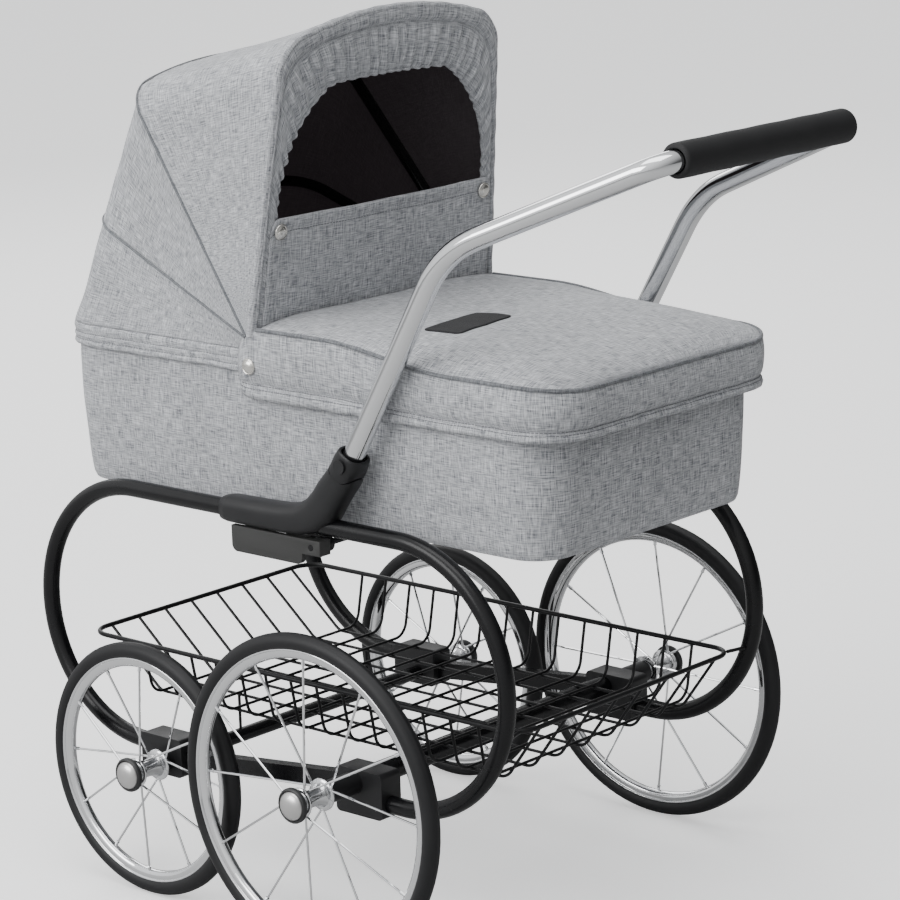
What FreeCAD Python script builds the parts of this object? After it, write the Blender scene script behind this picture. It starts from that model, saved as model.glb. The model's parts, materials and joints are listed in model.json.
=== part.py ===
import FreeCAD, Part
import math
import os
import re
import Sketcher
from FreeCAD import Placement, Rotation, Vector

# A doll-size pram: a sprung-look tube chassis on four wire wheels, a wire basket,
# a lift-off fabric cot with an apron, a folding hood and a push handle.
# Frame: +X towards the person who pushes, +Z up, ground at z = 0, left is -Y.
# Lengths along X are first measured from the middle between the axles; every
# sub-part is then moved by the same amount, so that the origin lies under the
# middle of the whole pram.

doc = FreeCAD.newDocument("DollPram")

# ---------------------------------------------------------------- dimensions
SIZES = [
    # wheels and axles
    ("FrontWheelRadius", 105.0),
    ("RearWheelRadius", 130.0),
    ("TyreRadius", 7.0),
    ("TyreGap", 0.1),
    ("RimWidth", 11.0),
    ("RimDepth", 5.5),
    ("WheelSpacing", 209.5),
    ("FrontTrack", 372.0),
    ("RearTrack", 425.0),
    ("AxleRadius", 4.0),
    ("AxleClear", 0.05),
    ("HubBarrel", 7.5),
    ("HubFlange", 12.5),
    ("HubInner", 16.0),
    ("HubOuter", 17.0),
    ("FlangeThickness", 3.0),
    ("CapRadius", 14.0),
    ("CapHeight", 9.0),
    ("CapRing", 4.0),
    ("SpokeSpread", 8.0),
    ("SpokeRadius", 1.0),
    ("SpokeSeat", 1.5),
    ("SpokeCount", 12),
    ("RunningGap", 0.3),
    # side frames
    ("TubeRadius", 7.0),
    ("FrameHalfWidth", 153.5),
    ("LoopTop", 327.0),
    ("LoopBottom", 115.0),
    ("LoopFront", -138.0),
    ("LoopRear", 148.0),
    ("LoopEndFront", -120.0),
    ("LoopEndRear", 122.0),
    ("FitGap", 0.1),
    ("BlockWidth", 22.0),
    ("BlockWall", 11.0),
    ("BlockReach", 18.75),
    ("SocketDepth", 12.0),
    ("RailWidth", 10.0),
    ("RailHeight", 14.0),
    ("FrontTubeRadius", 6.0),
    ("RearTubeRadius", 9.0),
    ("SpacerRadius", 7.0),
    # elbows, plates and cross members
    ("ElbowWidth", 24.0),
    ("ElbowFront", -31.0),
    ("ElbowRear", 57.0),
    ("ElbowDepth", 11.0),
    ("PlateFront", -20.0),
    ("PlateRear", 56.0),
    ("PlateHeight", 21.0),
    ("PlateThickness", 5.0),
    ("LockLength", 19.0),
    ("LockHeight", 12.0),
    ("LockWidth", 12.0),
    ("TieRodRadius", 2.5),
    ("TieNutRadius", 6.5),
    ("TieNutLength", 8.0),
    ("CrossBarFront", -8.0),
    ("CrossBarRear", 36.0),
    ("CrossBarThickness", 3.0),
    ("CrossBarHeight", 15.0),
    # handle
    ("HandleRadius", 8.5),
    ("HandleWall", 1.5),
    ("HandlePivotX", 103.5),
    ("HandlePivotZ", 380.0),
    ("HandleBendX", 204.0),
    ("HandleBendZ", 552.0),
    ("HandleBendRadius", 90.0),
    ("HandleCornerRadius", 25.0),
    ("HandleTopHalfWidth", 116.0),
    ("GripReach", 378.0),
    ("GripHeight", 625.0),
    ("GripRadius", 13.0),
    ("GripLength", 190.0),
    ("HandlePinRadius", 3.0),
    ("PinHeadRadius", 5.5),
    ("PinHeadHeight", 1.5),
    ("HandleFold", 50.0),
    ("SideGap", 0.3),
    # basket
    ("BasketRimHeight", 188.0),
    ("BasketFront", -222.0),
    ("BasketRear", 248.0),
    ("BasketHalfWidth", 133.0),
    ("BasketCorner", 20.0),
    ("BasketFloorFront", -165.0),
    ("BasketFloorRear", 213.0),
    ("BasketFloorHalfWidth", 124.0),
    ("RimWireRadius", 2.0),
    ("BasketWireRadius", 1.25),
    ("LongWireCount", 8),
    ("LongWireSpacing", 31.0),
    ("CrossWireCount", 14),
    ("CrossWireSpacing", 28.0),
    # cot
    ("CotRimHeight", 436.0),
    ("CotBottomFront", -229.0),
    ("CotBottomRear", 273.0),
    ("CotBottomHalfWidth", 130.0),
    ("CotBottomCorner", 34.0),
    ("CotTopFront", -235.0),
    ("CotTopRear", 277.0),
    ("CotTopHalfWidth", 135.0),
    ("CotTopCorner", 38.0),
    ("CotWall", 4.0),
    ("CotFloorThickness", 1.5),
    ("BoardThickness", 4.0),
    ("MattressThickness", 24.0),
    ("MattressInset", 7.0),
    ("RimFrameRadius", 3.0),
    ("ApronFront", 14.0),
    ("ApronHem", 414.0),
    ("ApronTop", 472.0),
    ("ApronThickness", 24.0),
    ("ApronOverhang", 15.0),
    ("ApronSidePuff", 4.0),
    ("HemThickness", 3.0),
    ("HemGap", 0.5),
    ("ApronEdgeRadius", 14.0),
    ("HoodHem", 434.0),
    ("HoodSkirtTop", 452.0),
    ("SnapRadius", 6.5),
    ("SnapHeight", 2.5),
    # hood
    ("HoodPivotX", -12.0),
    ("HoodPivotZ", 462.0),
    ("HoodRadius", 250.0),
    ("HoodBaseHalfWidth", 142.0),
    ("HoodSideHalfWidth", 128.0),
    ("HoodCorner", 36.0),
    ("HoodSideStart", 12.0),
    ("PanelThickness", 1.2),
    ("FrontBowAngle", 82.5),
    ("MiddleBowAngle", 127.0),
    ("BackBowAngle", 158.0),
    ("BackBowDrop", 27.0),
    ("PanelGap", 0.4),
    ("BowRadius", 2.75),
    ("BowGap", 0.8),
    ("BowSpread", 6.5),
    ("BowFoot", 109.75),
    ("BowShoulder", 129.5),
    ("EyeRadius", 6.0),
    ("EyeThickness", 5.5),
    ("HoodPinRadius", 2.5),
    ("BracketThickness", 3.0),
    ("BracketRadius", 7.0),
    ("ValanceThickness", 1.5),
    ("ValanceFoot", 60.0),
    ("ValanceShoulder", 105.0),
    ("ValanceSide", 12.0),
    ("ValanceCrown", 60.0),
    ("ValanceTop", 52.0),
    ("ValanceBend", 105.0),
    ("FlapBottom", 8.0),
    ("FlapTop", 93.0),
    ("FlapHalfWidth", 129.0),
]

sheet = doc.addObject("Spreadsheet::Sheet", "Dims")
for row, (alias, number) in enumerate(SIZES, start=1):
    sheet.set("A%d" % row, alias)
    sheet.set("B%d" % row, str(number))
    sheet.setAlias("B%d" % row, alias)
doc.recompute()


def formula(text):
    """Turn 'WheelSpacing/2' into an expression that reads the sheet."""
    return re.sub(r"\b[A-Z]\w+", lambda word: "Dims." + word.group(0), text)


def value(text):
    return float(sheet.evalExpression(formula(text)))


def bind(item, path, text):
    item.setExpression(path, formula(text))


# distance from the middle of the axles to the middle of the whole pram
ORIGIN = "(GripReach + GripRadius + LoopFront - (LoopTop - LoopBottom)/2 - TubeRadius)/2"

NODES = {}


def place(item, x="0", y="0", z="0", axis=None, angle="0"):
    """Set a Placement; x is measured from the middle of the axles."""
    if axis is not None:
        item.Placement = Placement(Vector(), Rotation(axis, value(angle)))
    bind(item, "Placement.Base.x", "(%s) - (%s)" % (x, ORIGIN))
    bind(item, "Placement.Base.y", y)
    bind(item, "Placement.Base.z", z)


def node(label, item):
    item.Label = label
    NODES[label] = item
    return item


AXIS_X = Vector(1, 0, 0)
AXIS_Y = Vector(0, 1, 0)
AXIS_Z = Vector(0, 0, 1)
SIDES = (("left", -1), ("right", 1))


# ------------------------------------------------------------ sketch helpers
def new_body(name):
    return doc.addObject("PartDesign::Body", name + "_body")


def new_sketch(body, plane, offset="0"):
    """Sketch on one of the body's own origin planes, moved along its normal."""
    sketch = body.newObject("Sketcher::SketchObject", body.Name + "_sketch")
    role = plane + "_Plane"
    base = [item for item in body.Origin.OriginFeatures if item.Role == role][0]
    sketch.AttachmentSupport = [(base, "")]
    sketch.MapMode = "FlatFace"
    bind(sketch, "AttachmentOffset.Base.z", offset)
    return sketch


def fix_point(sketch, edge, end, point):
    """Tie one end of an edge to the sketch's origin by two bound distances."""
    for axis, (kind, text) in enumerate(zip(("DistanceX", "DistanceY"), point)):
        if text == "0":
            line = -2 if axis == 0 else -1
            sketch.addConstraint(Sketcher.Constraint("PointOnObject", edge, end, line))
            continue
        item = Sketcher.Constraint(kind, -1, 1, edge, end, value(text))
        index = sketch.addConstraint(item)
        bind(sketch, "Constraints[%d]" % index, text)


def draw(sketch, corners, closed=True):
    """Draw a chain of lines and arcs through corners.

    A corner is (x, y) for a line to the next corner, or (x, y, radius, turn)
    for an arc, with turn +1 for anticlockwise and -1 for clockwise.
    """
    count = len(corners)
    last = count if closed else count - 1
    ends = []
    for index in range(last):
        here = corners[index]
        there = corners[(index + 1) % count]
        start = Vector(value(here[0]), value(here[1]), 0)
        stop = Vector(value(there[0]), value(there[1]), 0)
        if len(here) == 2:
            edge = sketch.addGeometry(Part.LineSegment(start, stop))
            ends.append((edge, 1, 2))
            continue
        radius, turn = value(here[2]), here[3]
        chord = stop - start
        rise = math.sqrt(max(radius ** 2 - (chord.Length / 2) ** 2, 0))
        side = Vector(-chord.y, chord.x, 0).normalize() * turn
        centre = (start + stop) * 0.5 + side * rise
        first, second = (start, stop) if turn > 0 else (stop, start)
        angles = [math.atan2(p.y - centre.y, p.x - centre.x) for p in (first, second)]
        circle = Part.Circle(centre, AXIS_Z, radius)
        edge = sketch.addGeometry(Part.ArcOfCircle(circle, angles[0], angles[1]))
        ends.append((edge, 1, 2) if turn > 0 else (edge, 2, 1))
    for index, (edge, begin, end) in enumerate(ends):
        if closed or index < last - 1:
            following = ends[(index + 1) % len(ends)]
            join = Sketcher.Constraint("Coincident", edge, end, following[0], following[1])
            sketch.addConstraint(join)
        fix_point(sketch, edge, begin, corners[index][:2])
        if len(corners[index]) == 4:
            bound = Sketcher.Constraint("Radius", edge, value(corners[index][2]))
            bind(sketch, "Constraints[%d]" % sketch.addConstraint(bound), corners[index][2])
    if not closed:
        fix_point(sketch, ends[-1][0], ends[-1][2], corners[-1][:2])


def draw_circle(sketch, x, y, radius):
    centre = Vector(value(x), value(y), 0)
    edge = sketch.addGeometry(Part.Circle(centre, AXIS_Z, value(radius)))
    fix_point(sketch, edge, 3, (x, y))
    bound = Sketcher.Constraint("Radius", edge, value(radius))
    bind(sketch, "Constraints[%d]" % sketch.addConstraint(bound), radius)


def rounded_box(front, rear, half, corner):
    """Corners of a rounded rectangle, symmetrical about the X axis."""
    return [
        ("%s + %s" % (front, corner), "-(%s)" % half),
        ("%s - (%s)" % (rear, corner), "-(%s)" % half, corner, 1),
        (rear, "-(%s) + %s" % (half, corner)),
        (rear, "%s - (%s)" % (half, corner), corner, 1),
        ("%s - (%s)" % (rear, corner), half),
        ("%s + %s" % (front, corner), half, corner, 1),
        (front, "%s - (%s)" % (half, corner)),
        (front, "-(%s) + %s" % (half, corner), corner, 1),
    ]


def pad(body, sketch, length, symmetric=False):
    feature = body.newObject("PartDesign::Pad", body.Name + "_pad")
    feature.Profile = sketch
    bind(feature, "Length", length)
    if symmetric:
        feature.SideType = "Symmetric"
    return feature


def pocket(body, sketch, length=None, symmetric=False, backwards=False):
    feature = body.newObject("PartDesign::Pocket", body.Name + "_pocket")
    feature.Profile = sketch
    if length is None:
        feature.Type = "ThroughAll"
    else:
        bind(feature, "Length", length)
    if symmetric:
        feature.SideType = "Symmetric"
    feature.Reversed = backwards
    return feature


def revolve(body, sketch, axis, angle="360"):
    feature = body.newObject("PartDesign::Revolution", body.Name + "_revolution")
    feature.Profile = sketch
    feature.ReferenceAxis = (sketch, [axis])
    bind(feature, "Angle", angle)
    return feature


def round_edges(body, base, radius, wanted):
    """Fillet the edges of the last feature for which wanted(edge) is true."""
    doc.recompute()
    names = ["Edge%d" % (i + 1) for i, e in enumerate(base.Shape.Edges) if wanted(e)]
    feature = body.newObject("PartDesign::Fillet", body.Name + "_fillet")
    feature.Base = (base, names)
    bind(feature, "Radius", radius)
    return feature


def cylinder(name, radius, length):
    item = doc.addObject("Part::Cylinder", name)
    bind(item, "Radius", radius)
    bind(item, "Height", length)
    return item


def boolean(kind, name, base, tool):
    item = doc.addObject("Part::" + kind, name)
    item.Base = base
    item.Tool = tool
    return item


def group(label, items):
    item = doc.addObject("Part::Compound", label + "_group")
    item.Links = items
    return node(label, item)


# -------------------------------------------------------- bent wire and tube
def route(points, radii, closed=False):
    """A wire of straight runs joined by tangent arcs at the inner points."""
    count = len(points)
    bends = []
    for index, point in enumerate(points):
        inner = closed or 0 < index < count - 1
        if not inner:
            bends.append((point, point, None))
            continue
        back = (points[index - 1] - point).normalize()
        ahead = (points[(index + 1) % count] - point).normalize()
        half = back.getAngle(ahead) / 2
        cut = radii[index] / math.tan(half)
        middle = (back + ahead).normalize()
        reach = radii[index] / math.sin(half) - radii[index]
        bends.append((point + back * cut, point + ahead * cut, point + middle * reach))
    edges = []
    for index, (enter, leave, crown) in enumerate(bends):
        if crown is not None:
            edges.append(Part.Arc(enter, crown, leave).toShape())
        if closed or index < count - 1:
            following = bends[(index + 1) % count][0]
            if (following - leave).Length > 1e-6:
                edges.append(Part.LineSegment(leave, following).toShape())
    return Part.Wire(Part.__sortEdges__(edges))


def tube(path, radius):
    """Sweep a round section along a wire."""
    first = path.OrderedEdges[0]
    start = first.valueAt(first.FirstParameter)
    heading = first.tangentAt(first.FirstParameter)
    section = Part.Wire(Part.makeCircle(radius, start, heading))
    swept = path.makePipeShell([section], True, True)
    return swept if swept.ShapeType == "Solid" else Part.Solid(swept.Shells[0])


def feature(label, shapes):
    """A sub-part made of bent wire or tube, drawn from the middle of the axles."""
    item = doc.addObject("Part::Feature", label + "_wire")
    item.Shape = shapes[0] if len(shapes) == 1 else Part.Compound(shapes)
    item.Placement = Placement(Vector(-value(ORIGIN), 0, 0), Rotation())
    return node(label, item)


# -------------------------------------------------------------------- wheels
def wheel(name, radius, track, x, side):
    """Tyre, rim, spokes, hub and cap, turned about an axis that points outwards."""
    y = "%d*%s/2" % (side, track)
    turn = "%d" % (-90 * side)

    def seat(item):
        place(item, x, y, radius, AXIS_X, turn)

    tyre = doc.addObject("Part::Torus", name + "_torus")
    bind(tyre, "Radius1", "%s - TyreRadius" % radius)
    bind(tyre, "Radius2", "TyreRadius")
    seat(node(name + "_tyre", tyre))

    edge = "%s - TyreRadius - sqrt((TyreRadius + TyreGap)^2 - (RimWidth/2)^2)" % radius
    inner = "%s - 2*TyreRadius - RimDepth" % radius
    rim = new_body(name + "_rim")
    sketch = new_sketch(rim, "XZ")
    draw(sketch, [
        (inner, "-RimWidth/2"),
        (edge, "-RimWidth/2", "TyreRadius + TyreGap", -1),
        (edge, "RimWidth/2"),
        (inner, "RimWidth/2"),
    ])
    revolve(rim, sketch, "V_Axis")
    seat(node(name + "_rim", rim))

    hub = new_body(name + "_hub")
    sketch = new_sketch(hub, "XZ")
    half = "FlangeThickness/2"
    draw(sketch, [
        ("AxleRadius + AxleClear", "-HubInner"),
        ("(HubBarrel + HubFlange)/2", "-HubInner"),
        ("HubBarrel", "-SpokeSpread - FlangeThickness"),
        ("HubFlange", "-SpokeSpread - %s" % half),
        ("HubFlange", "-SpokeSpread + %s" % half),
        ("HubBarrel", "-SpokeSpread + FlangeThickness"),
        ("HubBarrel", "SpokeSpread - FlangeThickness"),
        ("HubFlange", "SpokeSpread - %s" % half),
        ("HubFlange", "SpokeSpread + %s" % half),
        ("HubBarrel", "SpokeSpread + FlangeThickness"),
        ("HubFlange", "HubOuter"),
        ("AxleRadius + AxleClear", "HubOuter"),
    ])
    revolve(hub, sketch, "V_Axis")
    seat(node(name + "_hub", hub))

    cap = new_body(name + "_cap")
    sketch = new_sketch(cap, "XZ")
    dome = "(CapRadius^2 + (CapHeight - CapRing)^2)/(2*(CapHeight - CapRing))"
    draw(sketch, [
        ("0", "HubOuter"),
        ("CapRadius", "HubOuter"),
        ("CapRadius", "HubOuter + CapRing", dome, 1),
        ("0", "HubOuter + CapHeight"),
    ])
    revolve(cap, sketch, "V_Axis")
    seat(node(name + "_cap", cap))

    # each spoke runs from a hub flange to the middle of the rim, sides in turn
    foot = value("HubFlange - SpokeSeat")
    head = value(inner) + value("SpokeSeat")
    wires = []
    for index in range(int(value("SpokeCount"))):
        lift = value("SpokeSpread") * (1 if index % 2 else -1)
        start = Vector(foot, 0, lift)
        line = Vector(head, 0, lift / 4) - start
        wire = Part.makeCylinder(value("SpokeRadius"), line.Length, start, line)
        wire.rotate(Vector(), AXIS_Z, index * 360 / value("SpokeCount"))
        wires.append(wire)
    spokes = doc.addObject("Part::Feature", name + "_wires")
    spokes.Shape = Part.Compound(wires)
    seat(node(name + "_spokes", spokes))


FRONT_X = "-WheelSpacing/2"
REAR_X = "WheelSpacing/2"
for side_name, side in SIDES:
    wheel("front_" + side_name, "FrontWheelRadius", "FrontTrack", FRONT_X, side)
    wheel("rear_" + side_name, "RearWheelRadius", "RearTrack", REAR_X, side)


# --------------------------------------------------------------- side frames
ARC = "(LoopTop - LoopBottom)/2"
MIDDLE = "(LoopTop + LoopBottom)/2"
for side_name, side in SIDES:
    loop = new_body("side_loop_" + side_name)
    path = new_sketch(loop, "XZ")
    draw(path, [
        ("LoopEndFront", "LoopBottom"),
        ("LoopFront", "LoopBottom", ARC, -1),
        ("LoopFront - " + ARC, MIDDLE, ARC, -1),
        ("LoopFront", "LoopTop"),
        ("LoopRear", "LoopTop", ARC, -1),
        ("LoopRear + " + ARC, MIDDLE, ARC, -1),
        ("LoopRear", "LoopBottom"),
        ("LoopEndRear", "LoopBottom"),
    ], closed=False)
    section = new_sketch(loop, "YZ", "LoopEndFront")
    draw_circle(section, "0", "LoopBottom", "TubeRadius")
    pipe = loop.newObject("PartDesign::AdditivePipe", loop.Name + "_pipe")
    pipe.Profile = section
    pipe.Spine = path
    place(node("side_loop_" + side_name, loop), y="%d*FrameHalfWidth" % side)

    rail = new_body("lower_rail_" + side_name)
    sketch = new_sketch(rail, "XZ")
    front_end = "-WheelSpacing/2 + BlockReach"
    rear_end = "WheelSpacing/2 - BlockReach"
    draw(sketch, [
        (front_end, "FrontWheelRadius + 3 - RailHeight/2"),
        (rear_end, "RearWheelRadius - 4 - RailHeight/2"),
        (rear_end, "RearWheelRadius - 4 + RailHeight/2"),
        (front_end, "FrontWheelRadius + 3 + RailHeight/2"),
    ])
    pad(rail, sketch, "RailWidth", symmetric=True)
    place(node("lower_rail_" + side_name, rail), y="%d*FrameHalfWidth" % side)


def axle_block(name, axle, start, stop, low, high, side):
    """Moulded block with a bore for the axle and a socket for the loop's end."""
    block = new_body(name)
    sketch = new_sketch(block, "XZ")
    draw(sketch, [(start, low), (stop, low), (stop, high), (start, high)])
    solid = pad(block, sketch, "BlockWidth", symmetric=True)
    round_edges(block, solid, "4", lambda e: abs(e.tangentAt(e.FirstParameter).y) > 0.9)
    bore = new_sketch(block, "XZ")
    draw_circle(bore, axle[0], axle[1], "AxleRadius + FitGap")
    pocket(block, bore, "2*BlockWidth", symmetric=True)
    socket = new_sketch(block, "YZ", axle[2])
    draw_circle(socket, "0", "LoopBottom", "TubeRadius + FitGap")
    pocket(block, socket, "2*SocketDepth", backwards=side > 0)
    return block


front_blocks = []
rear_blocks = []
for side_name, side in SIDES:
    front_blocks.append(axle_block(
        "front_block_" + side_name, (FRONT_X, "FrontWheelRadius", "LoopEndFront"),
        "LoopEndFront - SocketDepth", FRONT_X + " + BlockReach",
        "FrontWheelRadius - BlockWall", "LoopBottom + BlockWall", -1))
    rear_blocks.append(axle_block(
        "rear_block_" + side_name, (REAR_X, "RearWheelRadius", "LoopEndRear"),
        REAR_X + " - BlockReach", "LoopEndRear + SocketDepth",
        "LoopBottom - BlockWall", "RearWheelRadius + BlockWall", 1))
    for block in (front_blocks[-1], rear_blocks[-1]):
        place(block, y="%d*FrameHalfWidth" % side)
group("front_axle_blocks", front_blocks)
group("rear_axle_blocks", rear_blocks)


# -------------------------------------------------------- axles and spacers
def axle(label, track, x, radius):
    length = "%s + 2*(HubOuter - 2)" % track
    rod = cylinder(label + "_rod", "AxleRadius", length)
    place(node(label, rod), x, "-(%s)/2" % length, radius, AXIS_X, "-90")


axle("front_axle", "FrontTrack", FRONT_X, "FrontWheelRadius")
axle("rear_axle", "RearTrack", REAR_X, "RearWheelRadius")


def sleeve(name, outer, start, stop, x, z):
    """A sleeve on the axle from y = start to y = stop."""
    length = "(%s) - (%s)" % (stop, start)
    solid = cylinder(name + "_outer", outer, length)
    hole = cylinder(name + "_hole", "AxleRadius + FitGap", length)
    for item in (solid, hole):
        place(item, x, start, z, AXIS_X, "-90")
    return boolean("Cut", name, solid, hole)


INSIDE = "FrameHalfWidth - BlockWidth/2"
OUTSIDE = "FrameHalfWidth + BlockWidth/2"
group("axle_tubes", [
    sleeve("front_tube", "FrontTubeRadius", "-(%s)" % INSIDE, INSIDE, FRONT_X,
           "FrontWheelRadius"),
    sleeve("rear_tube", "RearTubeRadius", "-(%s)" % INSIDE, INSIDE, REAR_X,
           "RearWheelRadius"),
])
spacers = []
for name, track, x, z, radius in (
        ("front", "FrontTrack", FRONT_X, "FrontWheelRadius", "SpacerRadius"),
        ("rear", "RearTrack", REAR_X, "RearWheelRadius", "RearTubeRadius")):
    hub_face = "%s/2 - HubInner - RunningGap" % track
    spacers.append(sleeve(name + "_spacer_right", radius, OUTSIDE, hub_face, x, z))
    spacers.append(sleeve(name + "_spacer_left", radius, "-(%s)" % hub_face,
                          "-(%s)" % OUTSIDE, x, z))
group("axle_spacers", spacers)


# -------------------------------------------- elbows, plates, cross members
# The handle leaves the elbow along the line from its pivot to its first bend.
ALONG_X = "(HandleBendX - HandlePivotX)"
ALONG_Z = "(HandleBendZ - HandlePivotZ)"
ALONG_LENGTH = "sqrt(%s^2 + %s^2)" % (ALONG_X, ALONG_Z)


def on_arm(along, across):
    """Corner at a distance along the handle's arm and a distance behind it."""
    x = "HandlePivotX + ((%s)*%s + (%s)*%s)/%s" % (
        along, ALONG_X, across, ALONG_Z, ALONG_LENGTH)
    z = "HandlePivotZ + ((%s)*%s - (%s)*%s)/%s" % (
        along, ALONG_Z, across, ALONG_X, ALONG_LENGTH)
    return x, z


CHEEK = "ElbowWidth/2"
SLOT = "HandleRadius + SideGap"
for side_name, side in SIDES:
    elbow = new_body("elbow_" + side_name)
    sketch = new_sketch(elbow, "XZ")
    base = "LoopTop - ElbowDepth"
    draw(sketch, [
        ("ElbowFront", base),
        ("ElbowRear", base),
        ("ElbowRear + 9", "LoopTop - 4"),
        on_arm("-50", CHEEK),
        on_arm("13", CHEEK),
        on_arm("19", "-(%s)" % CHEEK),
        on_arm("-18", "-(%s)" % CHEEK) + ("52", -1),
        ("ElbowRear - 5", "LoopTop + 15"),
        ("ElbowFront", "LoopTop + 10"),
    ])
    pad(elbow, sketch, "ElbowWidth", symmetric=True)
    channel = new_sketch(elbow, "YZ")
    draw_circle(channel, "0", "LoopTop", "TubeRadius + FitGap")
    pocket(elbow, channel, "1000", symmetric=True)
    slot = new_sketch(elbow, "XZ")
    foot = ("-sin(HandleFold)*(%s)" % SLOT, "cos(HandleFold)*(%s)" % SLOT)
    draw(slot, [
        on_arm("0", "-(%s)" % SLOT) + (SLOT, 1),
        on_arm(foot[0], foot[1]),
        on_arm(foot[0] + " + 60*cos(HandleFold)", foot[1] + " + 60*sin(HandleFold)"),
        on_arm("60", "-(%s)" % SLOT),
    ])
    pocket(elbow, slot, "2*(%s)" % SLOT, symmetric=True)
    hole = new_sketch(elbow, "XZ")
    draw_circle(hole, "HandlePivotX", "HandlePivotZ", "HandlePinRadius + AxleClear")
    pocket(elbow, hole, "2*ElbowWidth", symmetric=True)
    place(node("elbow_" + side_name, elbow), y="%d*FrameHalfWidth" % side)

plates = []
PLATE_TOP = "LoopTop - ElbowDepth"
for side_name, side in SIDES:
    plate = new_body("plate_" + side_name)
    outline = new_sketch(plate, "XZ")
    low = PLATE_TOP + " - PlateHeight"
    draw(outline, [
        ("PlateFront", low + " + 6", "6", 1),
        ("PlateFront + 6", low),
        ("PlateRear - 6", low, "6", 1),
        ("PlateRear", low + " + 6"),
        ("PlateRear", PLATE_TOP),
        ("PlateFront", PLATE_TOP),
    ])
    pad(plate, outline, "PlateThickness", symmetric=True)
    inset = "(PlateThickness - LockWidth)/2"
    block = doc.addObject("Part::Box", "lock_" + side_name)
    bind(block, "Length", "LockLength")
    bind(block, "Width", "LockWidth")
    bind(block, "Height", "LockHeight")
    bore = cylinder("lock_bore_" + side_name, "TieRodRadius + FitGap", "2*LockWidth")
    bored = boolean("Cut", "bored_lock_" + side_name, block, bore)
    middle = "%d*(FrameHalfWidth + PlateThickness)" % side
    inner = "%d*(FrameHalfWidth + PlateThickness + %s)" % (side, inset)
    place(plate, y=middle)
    place(block, "PlateRear", inner + " - LockWidth/2", PLATE_TOP + " - LockHeight")
    place(bore, "PlateRear + LockLength/2", inner + " - LockWidth", PLATE_TOP
          + " - LockHeight/2", AXIS_X, "-90")
    plates.append(boolean("Fuse", "plate_and_lock_" + side_name, plate, bored))
group("elbow_plates", plates)

# measured between the middles of the two lock blocks
ROD_LENGTH = "(2*(FrameHalfWidth + 1.5*PlateThickness) - LockWidth)"
rod = cylinder("tie_rod_bar", "TieRodRadius", ROD_LENGTH + " + LockWidth")
place(rod, "PlateRear + LockLength/2", "-(%s + LockWidth)/2" % ROD_LENGTH,
      PLATE_TOP + " - LockHeight/2", AXIS_X, "-90")
tie_rod = rod
for side_name, side in SIDES:
    nut = cylinder("tie_nut_" + side_name, "TieNutRadius", "TieNutLength")
    middle = "((%s - LockWidth - TieNutLength)/2 - SideGap)" % ROD_LENGTH
    face = "%d*%s - TieNutLength/2" % (side, middle)
    place(nut, "PlateRear + LockLength/2", face, PLATE_TOP + " - LockHeight/2",
          AXIS_X, "-90")
    tie_rod = boolean("Fuse", "tie_rod_with_nut_" + side_name, tie_rod, nut)
node("tie_rod", tie_rod)

# Two strips on edge carry the cot; their ends step down under the elbows.
BAR_TOP = "LoopTop - TubeRadius - RunningGap"
bars = []
for name, x in (("front", "CrossBarFront"), ("rear", "CrossBarRear")):
    bar = new_body(name + "_cross_bar")
    outline = new_sketch(bar, "YZ")
    end = "FrameHalfWidth + PlateThickness/2"
    step = "FrameHalfWidth - ElbowWidth/2 - 4"
    low = BAR_TOP + " - CrossBarHeight"
    draw(outline, [
        ("-(%s)" % end, low), (end, low),
        (end, PLATE_TOP), (step, PLATE_TOP),
        (step, BAR_TOP), ("-(%s)" % step, BAR_TOP),
        ("-(%s)" % step, PLATE_TOP), ("-(%s)" % end, PLATE_TOP),
    ])
    pad(bar, outline, "CrossBarThickness", symmetric=True)
    place(bar, x)
    bars.append(bar)
group("cross_bars", bars)

# -------------------------------------------------------------------- handle
PIN_LENGTH = "ElbowWidth + 2*PinHeadHeight"
pins = []
for side_name, side in SIDES:
    pin = cylinder("handle_pin_" + side_name, "HandlePinRadius", PIN_LENGTH)
    place(pin, "HandlePivotX", "%d*FrameHalfWidth - (%s)/2" % (side, PIN_LENGTH),
          "HandlePivotZ", AXIS_X, "-90")
    for end in (-1, 1):
        head = cylinder("pin_head_%s_%d" % (side_name, end + 1), "PinHeadRadius",
                        "PinHeadHeight")
        face = "%d*FrameHalfWidth + %d*(%s - PinHeadHeight)/2 - PinHeadHeight/2" % (
            side, end, PIN_LENGTH)
        place(head, "HandlePivotX", face, "HandlePivotZ", AXIS_X, "-90")
        pin = boolean("Fuse", "pin_and_head_%s_%d" % (side_name, end + 1), pin, head)
    pins.append(pin)
group("handle_pivot_pins", pins)

half = value("FrameHalfWidth")
pivot = Vector(value("HandlePivotX"), 0, value("HandlePivotZ"))
bend = Vector(value("HandleBendX"), 0, value("HandleBendZ"))
top = Vector(value("GripReach"), 0, value("GripHeight"))
along = (bend - pivot).normalize()
plug_length = value("HandleRadius") + 2
plugs = []
for side_name, side in SIDES:
    foot = pivot + Vector(0, side * half, 0)
    plug = Part.makeSphere(value("HandleRadius"), foot)
    plug = plug.fuse(Part.makeCylinder(value("HandleRadius"), plug_length, foot, along))
    stem = value("HandleRadius - HandleWall - FitGap")
    plug = plug.fuse(Part.makeCylinder(stem, plug_length + 15, foot, along))
    hole = Part.makeCylinder(value("HandlePinRadius + AxleClear"), 40,
                             foot - AXIS_Y * 20, AXIS_Y)
    plugs.append(plug.cut(hole).removeSplitter())
feature("handle_end_plugs", plugs)
top_half = value("HandleTopHalfWidth")
ends = [(pivot + along * plug_length, half), (bend, half), (top, top_half)]
points = [p + Vector(0, -across, 0) for p, across in ends] + [
    p + Vector(0, across, 0) for p, across in reversed(ends)]
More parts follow.
